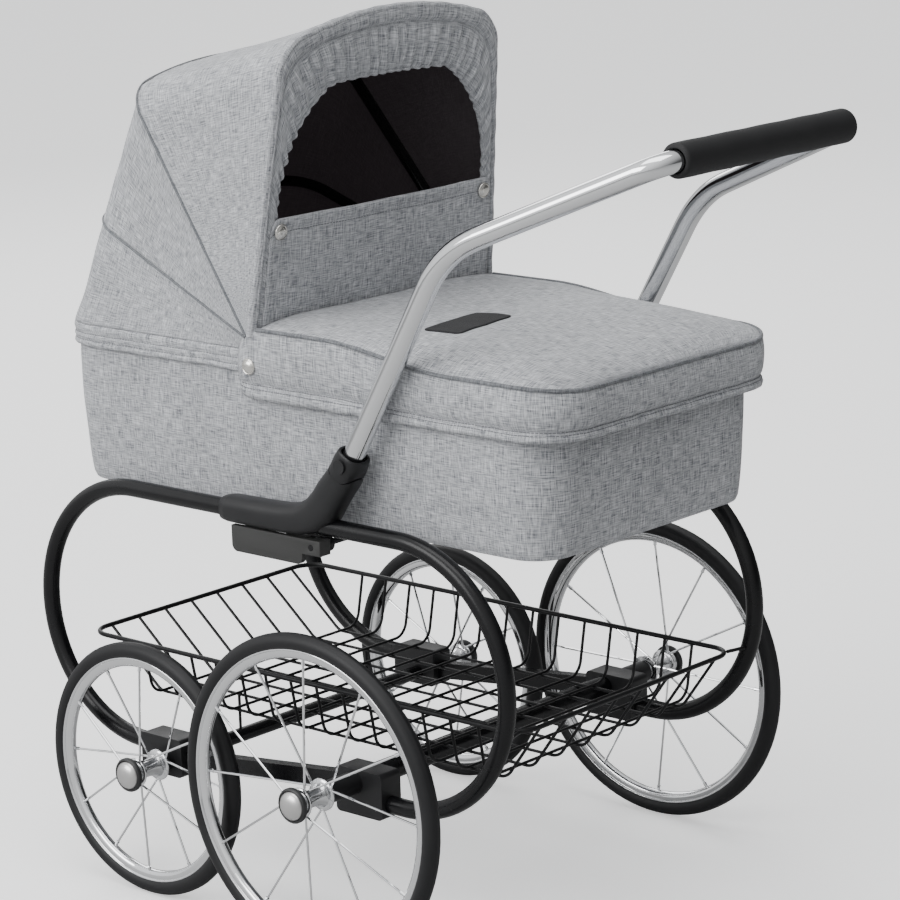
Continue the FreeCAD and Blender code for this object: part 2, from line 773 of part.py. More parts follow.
radii = [value("HandleBendRadius"), value("HandleCornerRadius")]
bends = [0] + radii + radii[::-1] + [0]
path = route(points, bends)
tube_wall = tube(path, value("HandleRadius")).cut(
    tube(path, value("HandleRadius - HandleWall")))
feature("handle_tube", [tube_wall.Solids[0]])

grip = new_body("handle_grip")
sketch = new_sketch(grip, "YZ")
draw(sketch, [
    ("-GripLength/2", "HandleRadius + FitGap"),
    ("GripLength/2", "HandleRadius + FitGap"),
    ("GripLength/2", "GripRadius - 3"),
    ("GripLength/2 - 3", "GripRadius"),
    ("3 - GripLength/2", "GripRadius"),
    ("-GripLength/2", "GripRadius - 3"),
])
revolve(grip, sketch, "H_Axis")
place(node("handle_grip", grip), "GripReach", "0", "GripHeight")

# -------------------------------------------------------------------- basket
rim_z = value("BasketRimHeight")
wire_radius = value("BasketWireRadius")
# the long wires lie on the rear axle tube, and the cross wires on them
low_z = value("RearWheelRadius + RearTubeRadius + RunningGap") + wire_radius
front, rear = value("BasketFront"), value("BasketRear")
wide = value("BasketHalfWidth")
corner = value("BasketCorner")
rim_path = route([Vector(front, -wide, rim_z), Vector(rear, -wide, rim_z),
                  Vector(rear, wide, rim_z), Vector(front, wide, rim_z)],
                 [corner] * 4, closed=True)
rim_parts = [tube(rim_path, value("RimWireRadius"))]
for side_name, side in SIDES:
    drop = value(MIDDLE) - rim_z
    reach = math.sqrt(value(ARC) ** 2 - drop ** 2)
    inward = corner - (corner + value("RimWireRadius + 3*SideGap")) / math.sqrt(2)
    start = Vector(rear - inward, side * (wide - inward), rim_z)
    end = Vector(value("LoopRear") + reach,
                 side * (half - value("TubeRadius + 2*SideGap")), rim_z)
    rim_parts.append(Part.makeCylinder(value("RimWireRadius - 0.5"), (end - start).Length,
                                       start, end - start))
feature("basket_rim", rim_parts)

# the long wires hang from the front of the rim and rise to its rear
floor_front, floor_rear = value("BasketFloorFront"), value("BasketFloorRear")
long_wires = []
count = int(value("LongWireCount"))
for index in range(count):
    y = (index - (count - 1) / 2) * value("LongWireSpacing")
    path = route([Vector(front, y, rim_z), Vector(floor_front, y, low_z),
                  Vector(floor_rear, y, low_z), Vector(rear, y, rim_z)],
                 [0, 14, 14, 0])
    long_wires.append(tube(path, wire_radius))
# two short legs under the outer wires but one stand on the front axle tube
leg_foot = value("FrontWheelRadius + FrontTubeRadius + RunningGap")
leg_top = low_z - wire_radius
for side_name, side in SIDES:
    y = side * (count - 3) / 2 * value("LongWireSpacing")
    long_wires.append(Part.makeCylinder(
        wire_radius, leg_top - leg_foot, Vector(value(FRONT_X), y, leg_foot), AXIS_Z))
feature("basket_long_wires", long_wires)

cross_wires = []
count = int(value("CrossWireCount"))
floor_half = value("BasketFloorHalfWidth")
start_x = (floor_front + floor_rear) / 2 - (count - 1) / 2 * value("CrossWireSpacing")
for index in range(count):
    x = start_x + index * value("CrossWireSpacing")
    height = low_z + 2 * wire_radius
    path = route([Vector(x, -wide, rim_z), Vector(x, -floor_half, height),
                  Vector(x, floor_half, height), Vector(x, wide, rim_z)],
                 [0, 14, 14, 0])
    cross_wires.append(tube(path, wire_radius))
feature("basket_cross_wires", cross_wires)

# ----------------------------------------------------------------------- cot
COT_FLOOR = "LoopTop - TubeRadius"


def loose_sketch(name, z):
    sketch = doc.addObject("Sketcher::SketchObject", name)
    bind(sketch, "Placement.Base.z", z)
    return sketch


def cot_loft(name, wall, low):
    """The cot's tapered block, drawn inwards from its outside by a wall."""
    shape = doc.addObject("Part::Loft", name)
    sections = []
    for level, z in (("Bottom", low), ("Top", "CotRimHeight")):
        sketch = loose_sketch(name + "_" + level, z)
        draw(sketch, rounded_box(
            "Cot%sFront + %s" % (level, wall), "Cot%sRear - %s" % (level, wall),
            "(Cot%sHalfWidth - %s)" % (level, wall), "(Cot%sCorner - %s)" % (level, wall)))
        sections.append(sketch)
    shape.Sections = sections
    shape.Solid = True
    return shape


outer = cot_loft("cot_outer", "0", COT_FLOOR)
inner = cot_loft("cot_inner", "CotWall", COT_FLOOR + " + CotFloorThickness")
place(node("cot_shell", boolean("Cut", "cot_shell_cut", outer, inner)))


def flat_piece(label, inset, z, thickness, edge_radius=None):
    """A rounded board or mattress that lies inside the cot's floor."""
    body = new_body(label)
    sketch = new_sketch(body, "XY")
    draw(sketch, rounded_box(
        "CotBottomFront + %s" % inset, "CotBottomRear - (%s)" % inset,
        "(CotBottomHalfWidth - %s)" % inset, "(CotBottomCorner - %s)" % inset))
    solid = pad(body, sketch, thickness)
    if edge_radius:
        round_edges(body, solid, edge_radius, lambda e: abs(
            e.tangentAt(e.FirstParameter).z) < 0.01)
    place(node(label, body), z=z)


BOARD_Z = COT_FLOOR + " + CotFloorThickness + SideGap"
MATTRESS_Z = BOARD_Z + " + BoardThickness + SideGap"
flat_piece("cot_base_board", "(CotWall + SideGap)", BOARD_Z, "BoardThickness")
flat_piece("mattress", "MattressInset", MATTRESS_Z, "MattressThickness", "6")

INSET = "(CotWall + SideGap + RimFrameRadius)"
ring_z = value("CotRimHeight - RimFrameRadius - 2")
ring_front = value("CotTopFront + " + INSET)
ring_rear = value("CotTopRear - " + INSET)
ring_half = value("CotTopHalfWidth - " + INSET)
ring_path = route([Vector(ring_front, -ring_half, ring_z), Vector(ring_rear, -ring_half, ring_z),
                   Vector(ring_rear, ring_half, ring_z), Vector(ring_front, ring_half, ring_z)],
                  [value("CotTopCorner - " + INSET)] * 4, closed=True)
feature("cot_rim_frame", [tube(ring_path, value("RimFrameRadius"))])

# The apron is a padded lid with a hem that hangs outside the cot's wall.
SKIN = "(HemGap + HemThickness)"
apron = new_body("apron")
sketch = new_sketch(apron, "XY", "ApronHem")
edge = "CotTopHalfWidth + ApronSidePuff + " + SKIN
outline = rounded_box("ApronFront", "CotTopRear + ApronOverhang + " + SKIN,
                      "(%s)" % edge, "(CotTopCorner + ApronSidePuff + %s)" % SKIN)
draw(sketch, [("ApronFront", "-(%s)" % edge)] + outline[1:5] + [("ApronFront", edge)])
pad(apron, sketch, "ApronTop - ApronHem")
hollow = new_sketch(apron, "XY", "ApronHem")
outline = rounded_box("ApronFront", "CotTopRear + HemGap",
                      "(CotTopHalfWidth + HemGap)", "(CotTopCorner + HemGap)")
edge = "CotTopHalfWidth + HemGap"
past = "ApronFront - 10"
draw(hollow, [(past, "-(%s)" % edge)] + outline[1:5] + [(past, edge)])
cut = pocket(apron, hollow, "ApronTop - ApronHem - ApronThickness", backwards=True)


def on_apron_top(edge):
    low = min(vertex.Z for vertex in edge.Vertexes)
    front = max(vertex.X for vertex in edge.Vertexes) < value("ApronFront") + 1
    return low > value("ApronTop") - 0.1 and not front


round_edges(apron, cut, "ApronEdgeRadius", on_apron_top)
place(node("apron", apron))

# The hood's fabric ends in a skirt around the head of the cot.
skirt = new_body("hood_skirt")
sketch = new_sketch(skirt, "XY", "HoodHem")
out_corner = "(CotTopCorner + %s)" % SKIN
in_corner = "(CotTopCorner + HemGap)"
out_half, in_half = "(CotTopHalfWidth + %s)" % SKIN, "(CotTopHalfWidth + HemGap)"
out_front, in_front = "CotTopFront - " + SKIN, "CotTopFront - HemGap"
end = "ApronFront - HemGap"
draw(sketch, [
    (end, out_half),
    ("%s + %s" % (out_front, out_corner), out_half, out_corner, 1),
    (out_front, "%s - %s" % (out_half, out_corner)),
    (out_front, "%s - %s" % (out_corner, out_half), out_corner, 1),
    ("%s + %s" % (out_front, out_corner), "-" + out_half),
    (end, "-" + out_half),
    (end, "-" + in_half),
    ("%s + %s" % (in_front, in_corner), "-" + in_half, in_corner, -1),
    (in_front, "%s - %s" % (in_corner, in_half)),
    (in_front, "%s - %s" % (in_half, in_corner), in_corner, -1),
    ("%s + %s" % (in_front, in_corner), in_half),
    (end, in_half),
])
pad(skirt, sketch, "HoodSkirtTop - HoodHem")
place(node("hood_skirt", skirt))

snaps = []
for side_name, side in SIDES:
    snap = cylinder("cot_snap_" + side_name, "SnapRadius", "SnapHeight")
    place(snap, "ApronFront - 25", "%d*(%s)" % (side, out_half), "CotRimHeight + 4",
          AXIS_X, "%d" % (-90 * side))
    snaps.append(snap)
group("cot_snaps", snaps)

# ---------------------------------------------------------------------- hood
# Every hood piece is drawn in the plane of its own bow, with the pivot as its
# origin, and is then turned about the pivot. Half of a bow is a straight side,
# a corner arc and a flatter crown arc that meet smoothly; the back bow is lower.
CORNER_Y = "(HoodSideHalfWidth - HoodCorner)"
CORNER_TURN = 75
# the crown arc's centre lies beyond the corner arc's, along their common radius
CROWN_RADIUS = "(HoodCorner + %s/cos(%d))" % (CORNER_Y, CORNER_TURN)
SIDE_TOP = "(HoodRadius - HoodCorner*sin(%d) - %s*(1 - sin(%d)))" % (
    CORNER_TURN, CROWN_RADIUS, CORNER_TURN)


def side_width(height, drop="0"):
    """Half-width of the hood's straight side at a height above the pivot."""
    top = "(%s - %s)" % (SIDE_TOP, drop)
    share = "(%s - (%s))/(%s - HoodSideStart)" % (top, height, top)
    return "(HoodSideHalfWidth + (HoodBaseHalfWidth - HoodSideHalfWidth)*%s)" % share


def hood_profile(inset, drop="0"):
    """Half profile of the hood, from the top of the side to the crown."""
    corner = "(HoodCorner - (%s))" % inset
    crown = "(%s - (%s))" % (CROWN_RADIUS, inset)
    side = "(HoodSideHalfWidth - (%s))" % inset
    side_z = "(%s - %s)" % (SIDE_TOP, drop)
    end_y = "(%s + %s*cos(%d))" % (CORNER_Y, corner, CORNER_TURN)
    end_z = "(%s + %s*sin(%d))" % (side_z, corner, CORNER_TURN)
    return side, side_z, corner, crown, end_y, end_z


def outer_arch(inset, foot, drop="0"):
    """From the right foot over the crown to the left foot, anticlockwise."""
    side, side_z, corner, crown, end_y, end_z = hood_profile(inset, drop)
    base = "(%s - (%s))" % (side_width(foot, drop), inset)
    return [
        (base, foot),
        (side, side_z, corner, 1),
        (end_y, end_z, crown, 1),
        ("-" + end_y, end_z, corner, 1),
        ("-" + side, side_z),
        ("-" + base, foot),
    ]


def inner_arch(inset, foot, drop="0"):
    """From the left foot back to the right foot, clockwise."""
    side, side_z, corner, crown, end_y, end_z = hood_profile(inset, drop)
    base = "(%s - (%s))" % (side_width(foot, drop), inset)
    return [
        ("-" + base, foot),
        ("-" + side, side_z, corner, -1),
        ("-" + end_y, end_z, crown, -1),
        (end_y, end_z, corner, -1),
        (side, side_z),
        (base, foot),
    ]


def at_pivot(item, angle):
    """Turn a piece so that its plane stands at an angle above the rear."""
    place(item, "HoodPivotX", "0", "HoodPivotZ", AXIS_Y, "90 - (%s)" % angle)


def bow_section(name, angle, drop="0"):
    """The fabric's own section in the plane of a bow."""
    sketch = doc.addObject("Sketcher::SketchObject", name)
    upright = Rotation(AXIS_Y, AXIS_Z, AXIS_X, "XYZ")
    sketch.Placement = Placement(Vector(), Rotation(AXIS_Y, 90 - value(angle)) * upright)
    bind(sketch, "Placement.Base.x", "HoodPivotX")
    bind(sketch, "Placement.Base.z", "HoodPivotZ")
    draw(sketch, outer_arch("0", "HoodSideStart", drop)
         + inner_arch("PanelThickness", "HoodSideStart", drop))
    return sketch


def rim_arch(wall, turn):
    """The head of the cot in plan, outside its wall by a distance."""
    half = "(CotTopHalfWidth + %s)" % wall
    corner = "(CotTopCorner + %s)" % wall
    front = "(CotTopFront - %s)" % wall
    start = "HoodPivotX - HoodSideStart"
    arch = [
        (start, half),
        ("%s + %s" % (front, corner), half, corner, 1),
        (front, "%s - %s" % (half, corner)),
        (front, "%s - %s" % (corner, half), corner, 1),
        ("%s + %s" % (front, corner), "-" + half),
        (start, "-" + half),
    ]
    if turn > 0:
        return arch
    back = arch[::-1]
    return [back[0], back[1][:2] + (corner, -1), back[2][:2],
            back[3][:2] + (corner, -1), back[4][:2], back[5]]


def hood_panel(label, sections):
    """Fabric stretched straight from one bow to the next."""
    panel = doc.addObject("Part::Loft", label + "_loft")
    panel.Sections = sections
    panel.Solid = True
    panel.Ruled = True
    place(node(label, panel))


EDGE_TURN = "(PanelGap/2/HoodRadius*180/pi)"
hood_panel("hood_panel_front", [
    bow_section("front_section", "FrontBowAngle"),
    bow_section("middle_section_front", "MiddleBowAngle - " + EDGE_TURN)])
hood_panel("hood_panel_middle", [
    bow_section("middle_section_back", "MiddleBowAngle + " + EDGE_TURN),
    bow_section("back_section_front", "BackBowAngle - " + EDGE_TURN, "BackBowDrop")])
rim_section = loose_sketch("rim_section", "HoodSkirtTop + PanelGap")
draw(rim_section, rim_arch("(HemGap + HemThickness)", 1)
     + rim_arch("(HemGap + HemThickness - PanelThickness)", -1))
hood_panel("hood_panel_back", [
    bow_section("back_section_back", "BackBowAngle + " + EDGE_TURN, "BackBowDrop"),
    rim_section])

INNER_FACE = "(PanelThickness + BowGap)"


def bow(label, order, angle, drop="0"):
    """A bent rod with an eye at each foot; the feet stand side by side."""
    names = hood_profile(INNER_FACE + " + BowRadius", drop)
    side_y, side_z, corner, crown, end_y, end_z = [value(text) for text in names]
    foot_y = value("BowFoot + %d*BowSpread" % order)
    foot_z = value("EyeRadius") - 1
    right = [Vector(0, foot_y, foot_z), Vector(0, foot_y, foot_z + 8),
             Vector(0, value("BowShoulder"), 60), Vector(0, side_y, side_z)]
    corner_mid = math.radians(CORNER_TURN / 2)
    middle = Vector(0, value(CORNER_Y) + corner * math.cos(corner_mid),
                    side_z + corner * math.sin(corner_mid))
    shoulder = Vector(0, end_y, end_z)
    crown_z = end_z + crown * (1 - math.sin(math.radians(CORNER_TURN)))
    mirror = [Vector(0, -p.y, p.z) for p in right + [middle, shoulder]]
    side_path = route(right, [0, 10, 60, 0])
    mirror_path = route(mirror[:4], [0, 10, 60, 0])
    edges = side_path.Edges + mirror_path.Edges
    edges.append(Part.Arc(right[3], middle, shoulder).toShape())
    edges.append(Part.Arc(shoulder, Vector(0, 0, crown_z), mirror[5]).toShape())
    edges.append(Part.Arc(mirror[5], mirror[4], mirror[3]).toShape())
    solid = tube(Part.Wire(Part.__sortEdges__(edges)), value("BowRadius"))
    thickness = value("EyeThickness")
    for side in (-1, 1):
        start = Vector(0, side * foot_y - thickness / 2, 0)
        solid = solid.fuse(Part.makeCylinder(value("EyeRadius"), thickness, start, AXIS_Y))
    for side in (-1, 1):
        start = Vector(0, side * foot_y - thickness, 0)
        solid = solid.cut(Part.makeCylinder(value("HoodPinRadius + AxleClear"),
                                            2 * thickness, start, AXIS_Y))
    item = doc.addObject("Part::Feature", label + "_rod")
    item.Shape = solid.Solids[0]
    at_pivot(node(label, item), angle)


bow("hood_bow_front", 0, "FrontBowAngle")
bow("hood_bow_middle", 1, "MiddleBowAngle")
bow("hood_bow_back", 2, "BackBowAngle", "BackBowDrop")

# The valance hangs inside the front arch and leaves an arched window.
valance = new_body("hood_valance")
sketch = new_sketch(valance, "YZ", "BowRadius + BowGap")
shoulder_y = "(%s - %s - ValanceSide)" % (side_width("ValanceShoulder"), INNER_FACE)
crown_y = "(HoodSideHalfWidth - %s - ValanceCrown)" % INNER_FACE
crown_z = "(HoodRadius - %s - ValanceTop)" % INNER_FACE
draw(sketch, outer_arch(INNER_FACE, "ValanceFoot") + [
    ("-(%s + 2)" % shoulder_y, "ValanceFoot"),
    ("-" + shoulder_y, "ValanceShoulder", "ValanceBend", -1),
    ("-" + crown_y, crown_z),
    (crown_y, crown_z, "ValanceBend", -1),
    (shoulder_y, "ValanceShoulder"),
    ("%s + 2" % shoulder_y, "ValanceFoot"),
])
pad(valance, sketch, "ValanceThickness")
at_pivot(node("hood_valance", valance), "FrontBowAngle")

FLAP_X = "BowRadius + 2*BowGap + ValanceThickness"
flap = new_body("storm_flap")
sketch = new_sketch(flap, "YZ", FLAP_X)
draw(sketch, [
    ("-FlapHalfWidth - 4", "FlapBottom"), ("FlapHalfWidth + 4", "FlapBottom"),
    ("FlapHalfWidth", "FlapTop"), ("-FlapHalfWidth", "FlapTop"),
])
pad(flap, sketch, "ValanceThickness")
at_pivot(node("storm_flap", flap), "FrontBowAngle")

snaps = []
for side_name, side in SIDES:
    snap = cylinder("flap_snap_" + side_name, "SnapRadius", "SnapHeight")
    snap.Placement = Placement(Vector(), Rotation(AXIS_Y, 90))
    bind(snap, "Placement.Base.x", FLAP_X + " + ValanceThickness")
    bind(snap, "Placement.Base.y", "%d*(FlapHalfWidth - SnapRadius - 3)" % side)
    bind(snap, "Placement.Base.z", "FlapTop - SnapRadius - 3")
    snaps.append(snap)
at_pivot(group("flap_snaps", snaps), "FrontBowAngle")

brackets = []
pins = []
BRACKET_Y = "(BowFoot + 2*BowSpread + EyeThickness/2 + SideGap + BracketThickness/2)"
for side_name, side in SIDES:
    bracket = new_body("bracket_" + side_name)
    outline = new_sketch(bracket, "XZ")
    low = "CotRimHeight - 2 - HoodPivotZ"
    draw(outline, [
        ("-BracketRadius - 8", low), ("BracketRadius + 8", low),
        ("BracketRadius", "0", "BracketRadius", 1), ("0", "BracketRadius", "BracketRadius", 1),
        ("-BracketRadius", "0"),
    ])
    pad(bracket, outline, "BracketThickness", symmetric=True)
    hole = new_sketch(bracket, "XZ")
    draw_circle(hole, "0", "0", "HoodPinRadius + AxleClear")
    pocket(bracket, hole, "2*BracketThickness", symmetric=True)
    place(bracket, "HoodPivotX", "%d*%s" % (side, BRACKET_Y), "HoodPivotZ")
    brackets.append(bracket)
    inside = "BowFoot - EyeThickness/2 - PinHeadHeight"
    length = "%s + BracketThickness/2 + PinHeadHeight - (%s)" % (BRACKET_Y, inside)
    pin = cylinder("hood_pin_" + side_name, "HoodPinRadius", length)
    head = cylinder("hood_pin_head_" + side_name, "PinHeadRadius", "PinHeadHeight")
    turn = "%d" % (-90 * side)
    place(pin, "HoodPivotX", "%d*(%s)" % (side, inside), "HoodPivotZ", AXIS_X, turn)
    place(head, "HoodPivotX", "%d*(%s - SideGap)" % (side, inside), "HoodPivotZ",
          AXIS_X, turn)
    pins.append(boolean("Fuse", "hood_pin_and_head_" + side_name, pin, head))
group("hood_brackets", brackets)
group("hood_pivot_pins", pins)

# -------------------------------------------------------------------- export
doc.recompute()
for item in doc.Objects:
    if "Invalid" in item.State or "Error" in item.State:
        raise RuntimeError("%s (%s) failed: %s" % (item.Name, item.Label, item.State))
for label, item in NODES.items():
    if item.Shape.isNull() or not item.Shape.isValid() or not item.Shape.Solids:
        raise RuntimeError("%s has no valid shape" % label)

os.makedirs("parts", exist_ok=True)
for label, item in NODES.items():
    item.Shape.exportStep("parts/%s.step" % label)
print(len(NODES), "sub-parts")
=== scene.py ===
import json
import math
import random

import bmesh
import bpy
from mathutils import Matrix, Quaternion, Vector, noise


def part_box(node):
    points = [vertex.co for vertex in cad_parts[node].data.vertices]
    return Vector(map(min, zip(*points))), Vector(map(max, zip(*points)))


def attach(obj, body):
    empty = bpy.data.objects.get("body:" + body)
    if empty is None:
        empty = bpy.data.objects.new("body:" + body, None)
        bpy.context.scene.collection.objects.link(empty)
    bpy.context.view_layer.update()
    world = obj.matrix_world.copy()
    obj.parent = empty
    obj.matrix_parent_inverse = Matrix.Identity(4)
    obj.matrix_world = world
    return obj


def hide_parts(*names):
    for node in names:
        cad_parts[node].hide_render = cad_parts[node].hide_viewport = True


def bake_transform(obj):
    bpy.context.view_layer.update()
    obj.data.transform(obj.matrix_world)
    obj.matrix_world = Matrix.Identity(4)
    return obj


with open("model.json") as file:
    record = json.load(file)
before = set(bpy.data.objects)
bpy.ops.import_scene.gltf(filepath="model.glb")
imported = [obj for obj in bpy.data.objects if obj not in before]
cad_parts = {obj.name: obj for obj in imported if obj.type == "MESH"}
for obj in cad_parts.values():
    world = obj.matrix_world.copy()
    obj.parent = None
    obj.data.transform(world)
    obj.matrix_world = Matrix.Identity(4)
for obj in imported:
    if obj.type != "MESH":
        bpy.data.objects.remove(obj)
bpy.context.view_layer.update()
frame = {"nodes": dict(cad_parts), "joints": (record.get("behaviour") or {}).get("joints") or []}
MM = 0.001

# ------------------------------------------------------- camera, light, floor
# The camera stands at the foot end on the pram's left, a little above the hood,
# with a long lens. Large soft lights stand in front, above and behind.
view_target = Vector((-2, 0, 356)) * MM
view_back = Vector((0.64791, -0.72636, 0.22938))
view_reach = 2.722
view_roll = math.radians(-1.71)
camera = bpy.data.objects.new("camera", bpy.data.cameras.new("camera"))
camera.data.lens = 136.6
camera.data.sensor_width = 36
camera.data.clip_end = 60
camera.location = view_target + view_back * view_reach
camera.rotation_mode = "QUATERNION"
facing = (-view_back).to_track_quat("-Z", "Y")
camera.rotation_quaternion = facing @ Quaternion((0, 0, 1), view_roll)
bpy.context.scene.collection.objects.link(camera)
bpy.context.scene.camera = camera


def feed(tree, node, feeds):
    """Feed a node's inputs with plain values or with links."""
    for name, source in feeds.items():
        if isinstance(source, bpy.types.NodeSocket):
            tree.links.new(source, node.inputs[name])
        else:
            node.inputs[name].default_value = source


def add(tree, kind, feeds=None, **settings):
    """Put a node in a tree, set it up and feed it."""
    node = tree.nodes.new("ShaderNode" + kind)
    for name, setting in settings.items():
        setattr(node, name, setting)
    feed(tree, node, feeds or {})
    return node


def new_material(name, **plain):
    """A material whose shader sockets are set by name, with _ for a space."""
    material = bpy.data.materials.new(name)
    material.use_nodes = True
    shader = material.node_tree.nodes["Principled BSDF"]
    for socket, setting in plain.items():
        shader.inputs[socket.replace("_", " ")].default_value = setting
    return material, material.node_tree, shader


def soft_light(name, place, size, power):
    lamp = bpy.data.lights.new(name, "AREA")
    lamp.shape = "RECTANGLE"
    lamp.size, lamp.size_y = size
    lamp.energy = power
    holder = bpy.data.objects.new(name, lamp)
    holder.location = place
    aim = Vector((0, 0, 0.35)) - Vector(place)
    holder.rotation_euler = aim.to_track_quat("-Z", "Y").to_euler()
    bpy.context.scene.collection.objects.link(holder)


soft_light("key_light", (-0.9, -3.0, 2.1), (2.6, 1.6), 70)
soft_light("top_light", (0.1, -0.6, 3.4), (2.6, 2.0), 46)
soft_light("back_light", (-2.6, 1.8, 2.0), (2.0, 1.2), 26)

world = bpy.data.worlds.new("studio")
bpy.context.scene.world = world
world.use_nodes = True
sky = world.node_tree
toward = add(sky, "VectorMath", {0: add(sky, "TexCoord").outputs["Generated"],
                                 1: (-0.35, -0.62, 0.7)}, operation="DOT_PRODUCT")
glow = add(sky, "MapRange", {0: toward.outputs["Value"], 1: -0.35, 2: 0.9, 3: 0.1, 4: 1.25})
walls = add(sky, "Background", {"Color": (0.98, 0.99, 1.0, 1), "Strength": glow.outputs[0]})
backdrop = add(sky, "Background", {"Color": (1, 1, 1, 1), "Strength": 1.0})
seen = add(sky, "MixShader", {0: add(sky, "LightPath").outputs["Is Camera Ray"],
                              1: walls.outputs[0], 2: backdrop.outputs[0]})
feed(sky, sky.nodes["World Output"], {"Surface": seen.outputs[0]})

ground = bmesh.new()
bmesh.ops.create_grid(ground, x_segments=1, y_segments=1, size=14)
floor_mesh = bpy.data.meshes.new("floor")
ground.to_mesh(floor_mesh)
floor = bpy.data.objects.new("floor", floor_mesh)
floor_paint, floor_tree, floor_shader = new_material("floor_paint", Roughness=0.9,
                                                     Emission_Color=(1, 1, 1, 1))
facing_lens = add(floor_tree, "LightPath").outputs["Is Camera Ray"]
shade = add(floor_tree, "Mix", {0: facing_lens, 6: (0.42, 0.42, 0.42, 1), 7: (0.97, 0.97, 0.97, 1)},
            data_type="RGBA")
lift = add(floor_tree, "Math", {0: facing_lens, 1: 0.52}, operation="MULTIPLY")
feed(floor_tree, floor_shader, {"Base Color": shade.outputs[2],
                                "Emission Strength": lift.outputs[0]})
floor_mesh.materials.append(floor_paint)
bpy.context.scene.collection.objects.link(floor)

# -------------------------------------------------------------- side frames
# Two loops of bent steel tube, the rails and bars between them and the axle
# tubes, powder coated satin black. The coat has a faint orange peel.
node_of = frame["nodes"]


def new_group(name, inputs, outputs):
    """A node group with number sockets, what it is given, and its last node."""
    group = bpy.data.node_groups.new(name, "ShaderNodeTree")
    for sockets, way in ((inputs, "INPUT"), (outputs, "OUTPUT")):
        for socket in sockets:
            group.interface.new_socket(socket, in_out=way, socket_type="NodeSocketFloat")
    return group, group.nodes.new("NodeGroupInput").outputs, group.nodes.new("NodeGroupOutput")


def grain_group():
    """Fine pits and smudges on a hard surface, in the piece's own space."""
    group, given, made = new_group("fine_grain", ("Grain", "Roughness", "Spread"),
                                   ("Roughness", "Height", "Mask"))
    place = add(group, "TexCoord").outputs["Object"]
    pits = add(group, "TexNoise", {"Vector": place, "Scale": given["Grain"], "Detail": 2})
    smudge = add(group, "TexNoise", {"Vector": place, "Scale": 38.0, "Detail": 4})
    centred = add(group, "Math", {0: smudge.outputs["Fac"], 1: 0.5}, operation="SUBTRACT")
    spread = add(group, "Math", {0: centred.outputs[0], 1: given["Spread"],
                                 2: given["Roughness"]}, operation="MULTIPLY_ADD")
    feed(group, made, {"Roughness": spread.outputs[0], "Height": pits.outputs["Fac"],
                       "Mask": smudge.outputs["Fac"]})
    return group


FINE_GRAIN = grain_group()


def hard_finish(name, colour, worn, roughness, spread, grain, depth, **plain):
    """A hard finish: two close colours by smudge, uneven gloss and fine pits."""
    material, tree, shader = new_material(name, **plain)
    wear = add(tree, "Group", {"Grain": grain, "Roughness": roughness, "Spread": spread},
               node_tree=FINE_GRAIN)
    tone = add(tree, "Mix", {0: wear.outputs["Mask"], 6: (*colour, 1), 7: (*worn, 1)},
               data_type="RGBA")
    bump = add(tree, "Bump", {"Height": wear.outputs["Height"], "Distance": depth,
                              "Strength": 0.5})
    feed(tree, shader, {"Base Color": tone.outputs[2], "Roughness": wear.outputs["Roughness"],
                        "Normal": bump.outputs[0]})
    return material


def coat(names, material):
    """Give CAD nodes, whose shape is right, their real finish."""
    for name in names:
        mesh = node_of[name].data
        mesh.materials.clear()
        mesh.materials.append(material)


black_paint = hard_finish("black_powder_coat", (0.003, 0.003, 0.0035), (0.006, 0.006, 0.007),
                          0.26, 0.14, 700, 0.0001, Specular_IOR_Level=0.32)
coat(["side_loop_left", "side_loop_right", "lower_rail_left", "lower_rail_right", "cross_bars",
      "axle_tubes", "tie_rod"], black_paint)


# ----------------------------------------------------------------- wheels
# Each wheel is a rolled chrome rim laced with twelve crossed wire spokes to a
# flanged hub, with a solid black tyre and a pressed cap on the axle's end.
def new_piece(name, shape, materials, body, node=None, sharp=42, place=None):
    """Turn a bmesh into a smooth piece on a body, in the place of a CAD node."""
    if place:
        bmesh.ops.transform(shape, matrix=place, verts=shape.verts)
    mesh = bpy.data.meshes.new(name)
    shape.to_mesh(mesh)
    shape.free()
    mesh.shade_smooth()
    mesh.set_sharp_from_angle(angle=math.radians(sharp))
    for material in materials:
        mesh.materials.append(material)
    piece = bpy.data.objects.new(name, mesh)
    bpy.context.scene.collection.objects.link(piece)
    if body:
        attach(piece, body)
    if node:
        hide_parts(node)
    return piece


def turned(profile, steps, closed=False):
    """Spin a profile of (radius, offset) points about the Y axis."""
    shape = bmesh.new()
    points = [shape.verts.new((radius * MM, offset * MM, 0)) for radius, offset in profile]
    edges = [shape.edges.new(pair) for pair in zip(points, points[1:])]
    if closed:
        edges.append(shape.edges.new((points[-1], points[0])))
    bmesh.ops.spin(shape, geom=points + edges, cent=(0, 0, 0), axis=(0, 1, 0),
                   angle=math.tau, steps=steps, use_merge=True)
    bmesh.ops.remove_doubles(shape, verts=shape.verts, dist=1e-6)
    bmesh.ops.recalc_face_normals(shape, faces=shape.faces)
    return shape


def arc_points(centre, radius, start, stop, count):
    """Points of (radius, offset) along an arc in a profile, angles in degrees."""
    turns = [math.radians(start + (stop - start) * k / count) for k in range(count + 1)]
    return [(centre[0] + radius * math.cos(t), centre[1] + radius * math.sin(t)) for t in turns]


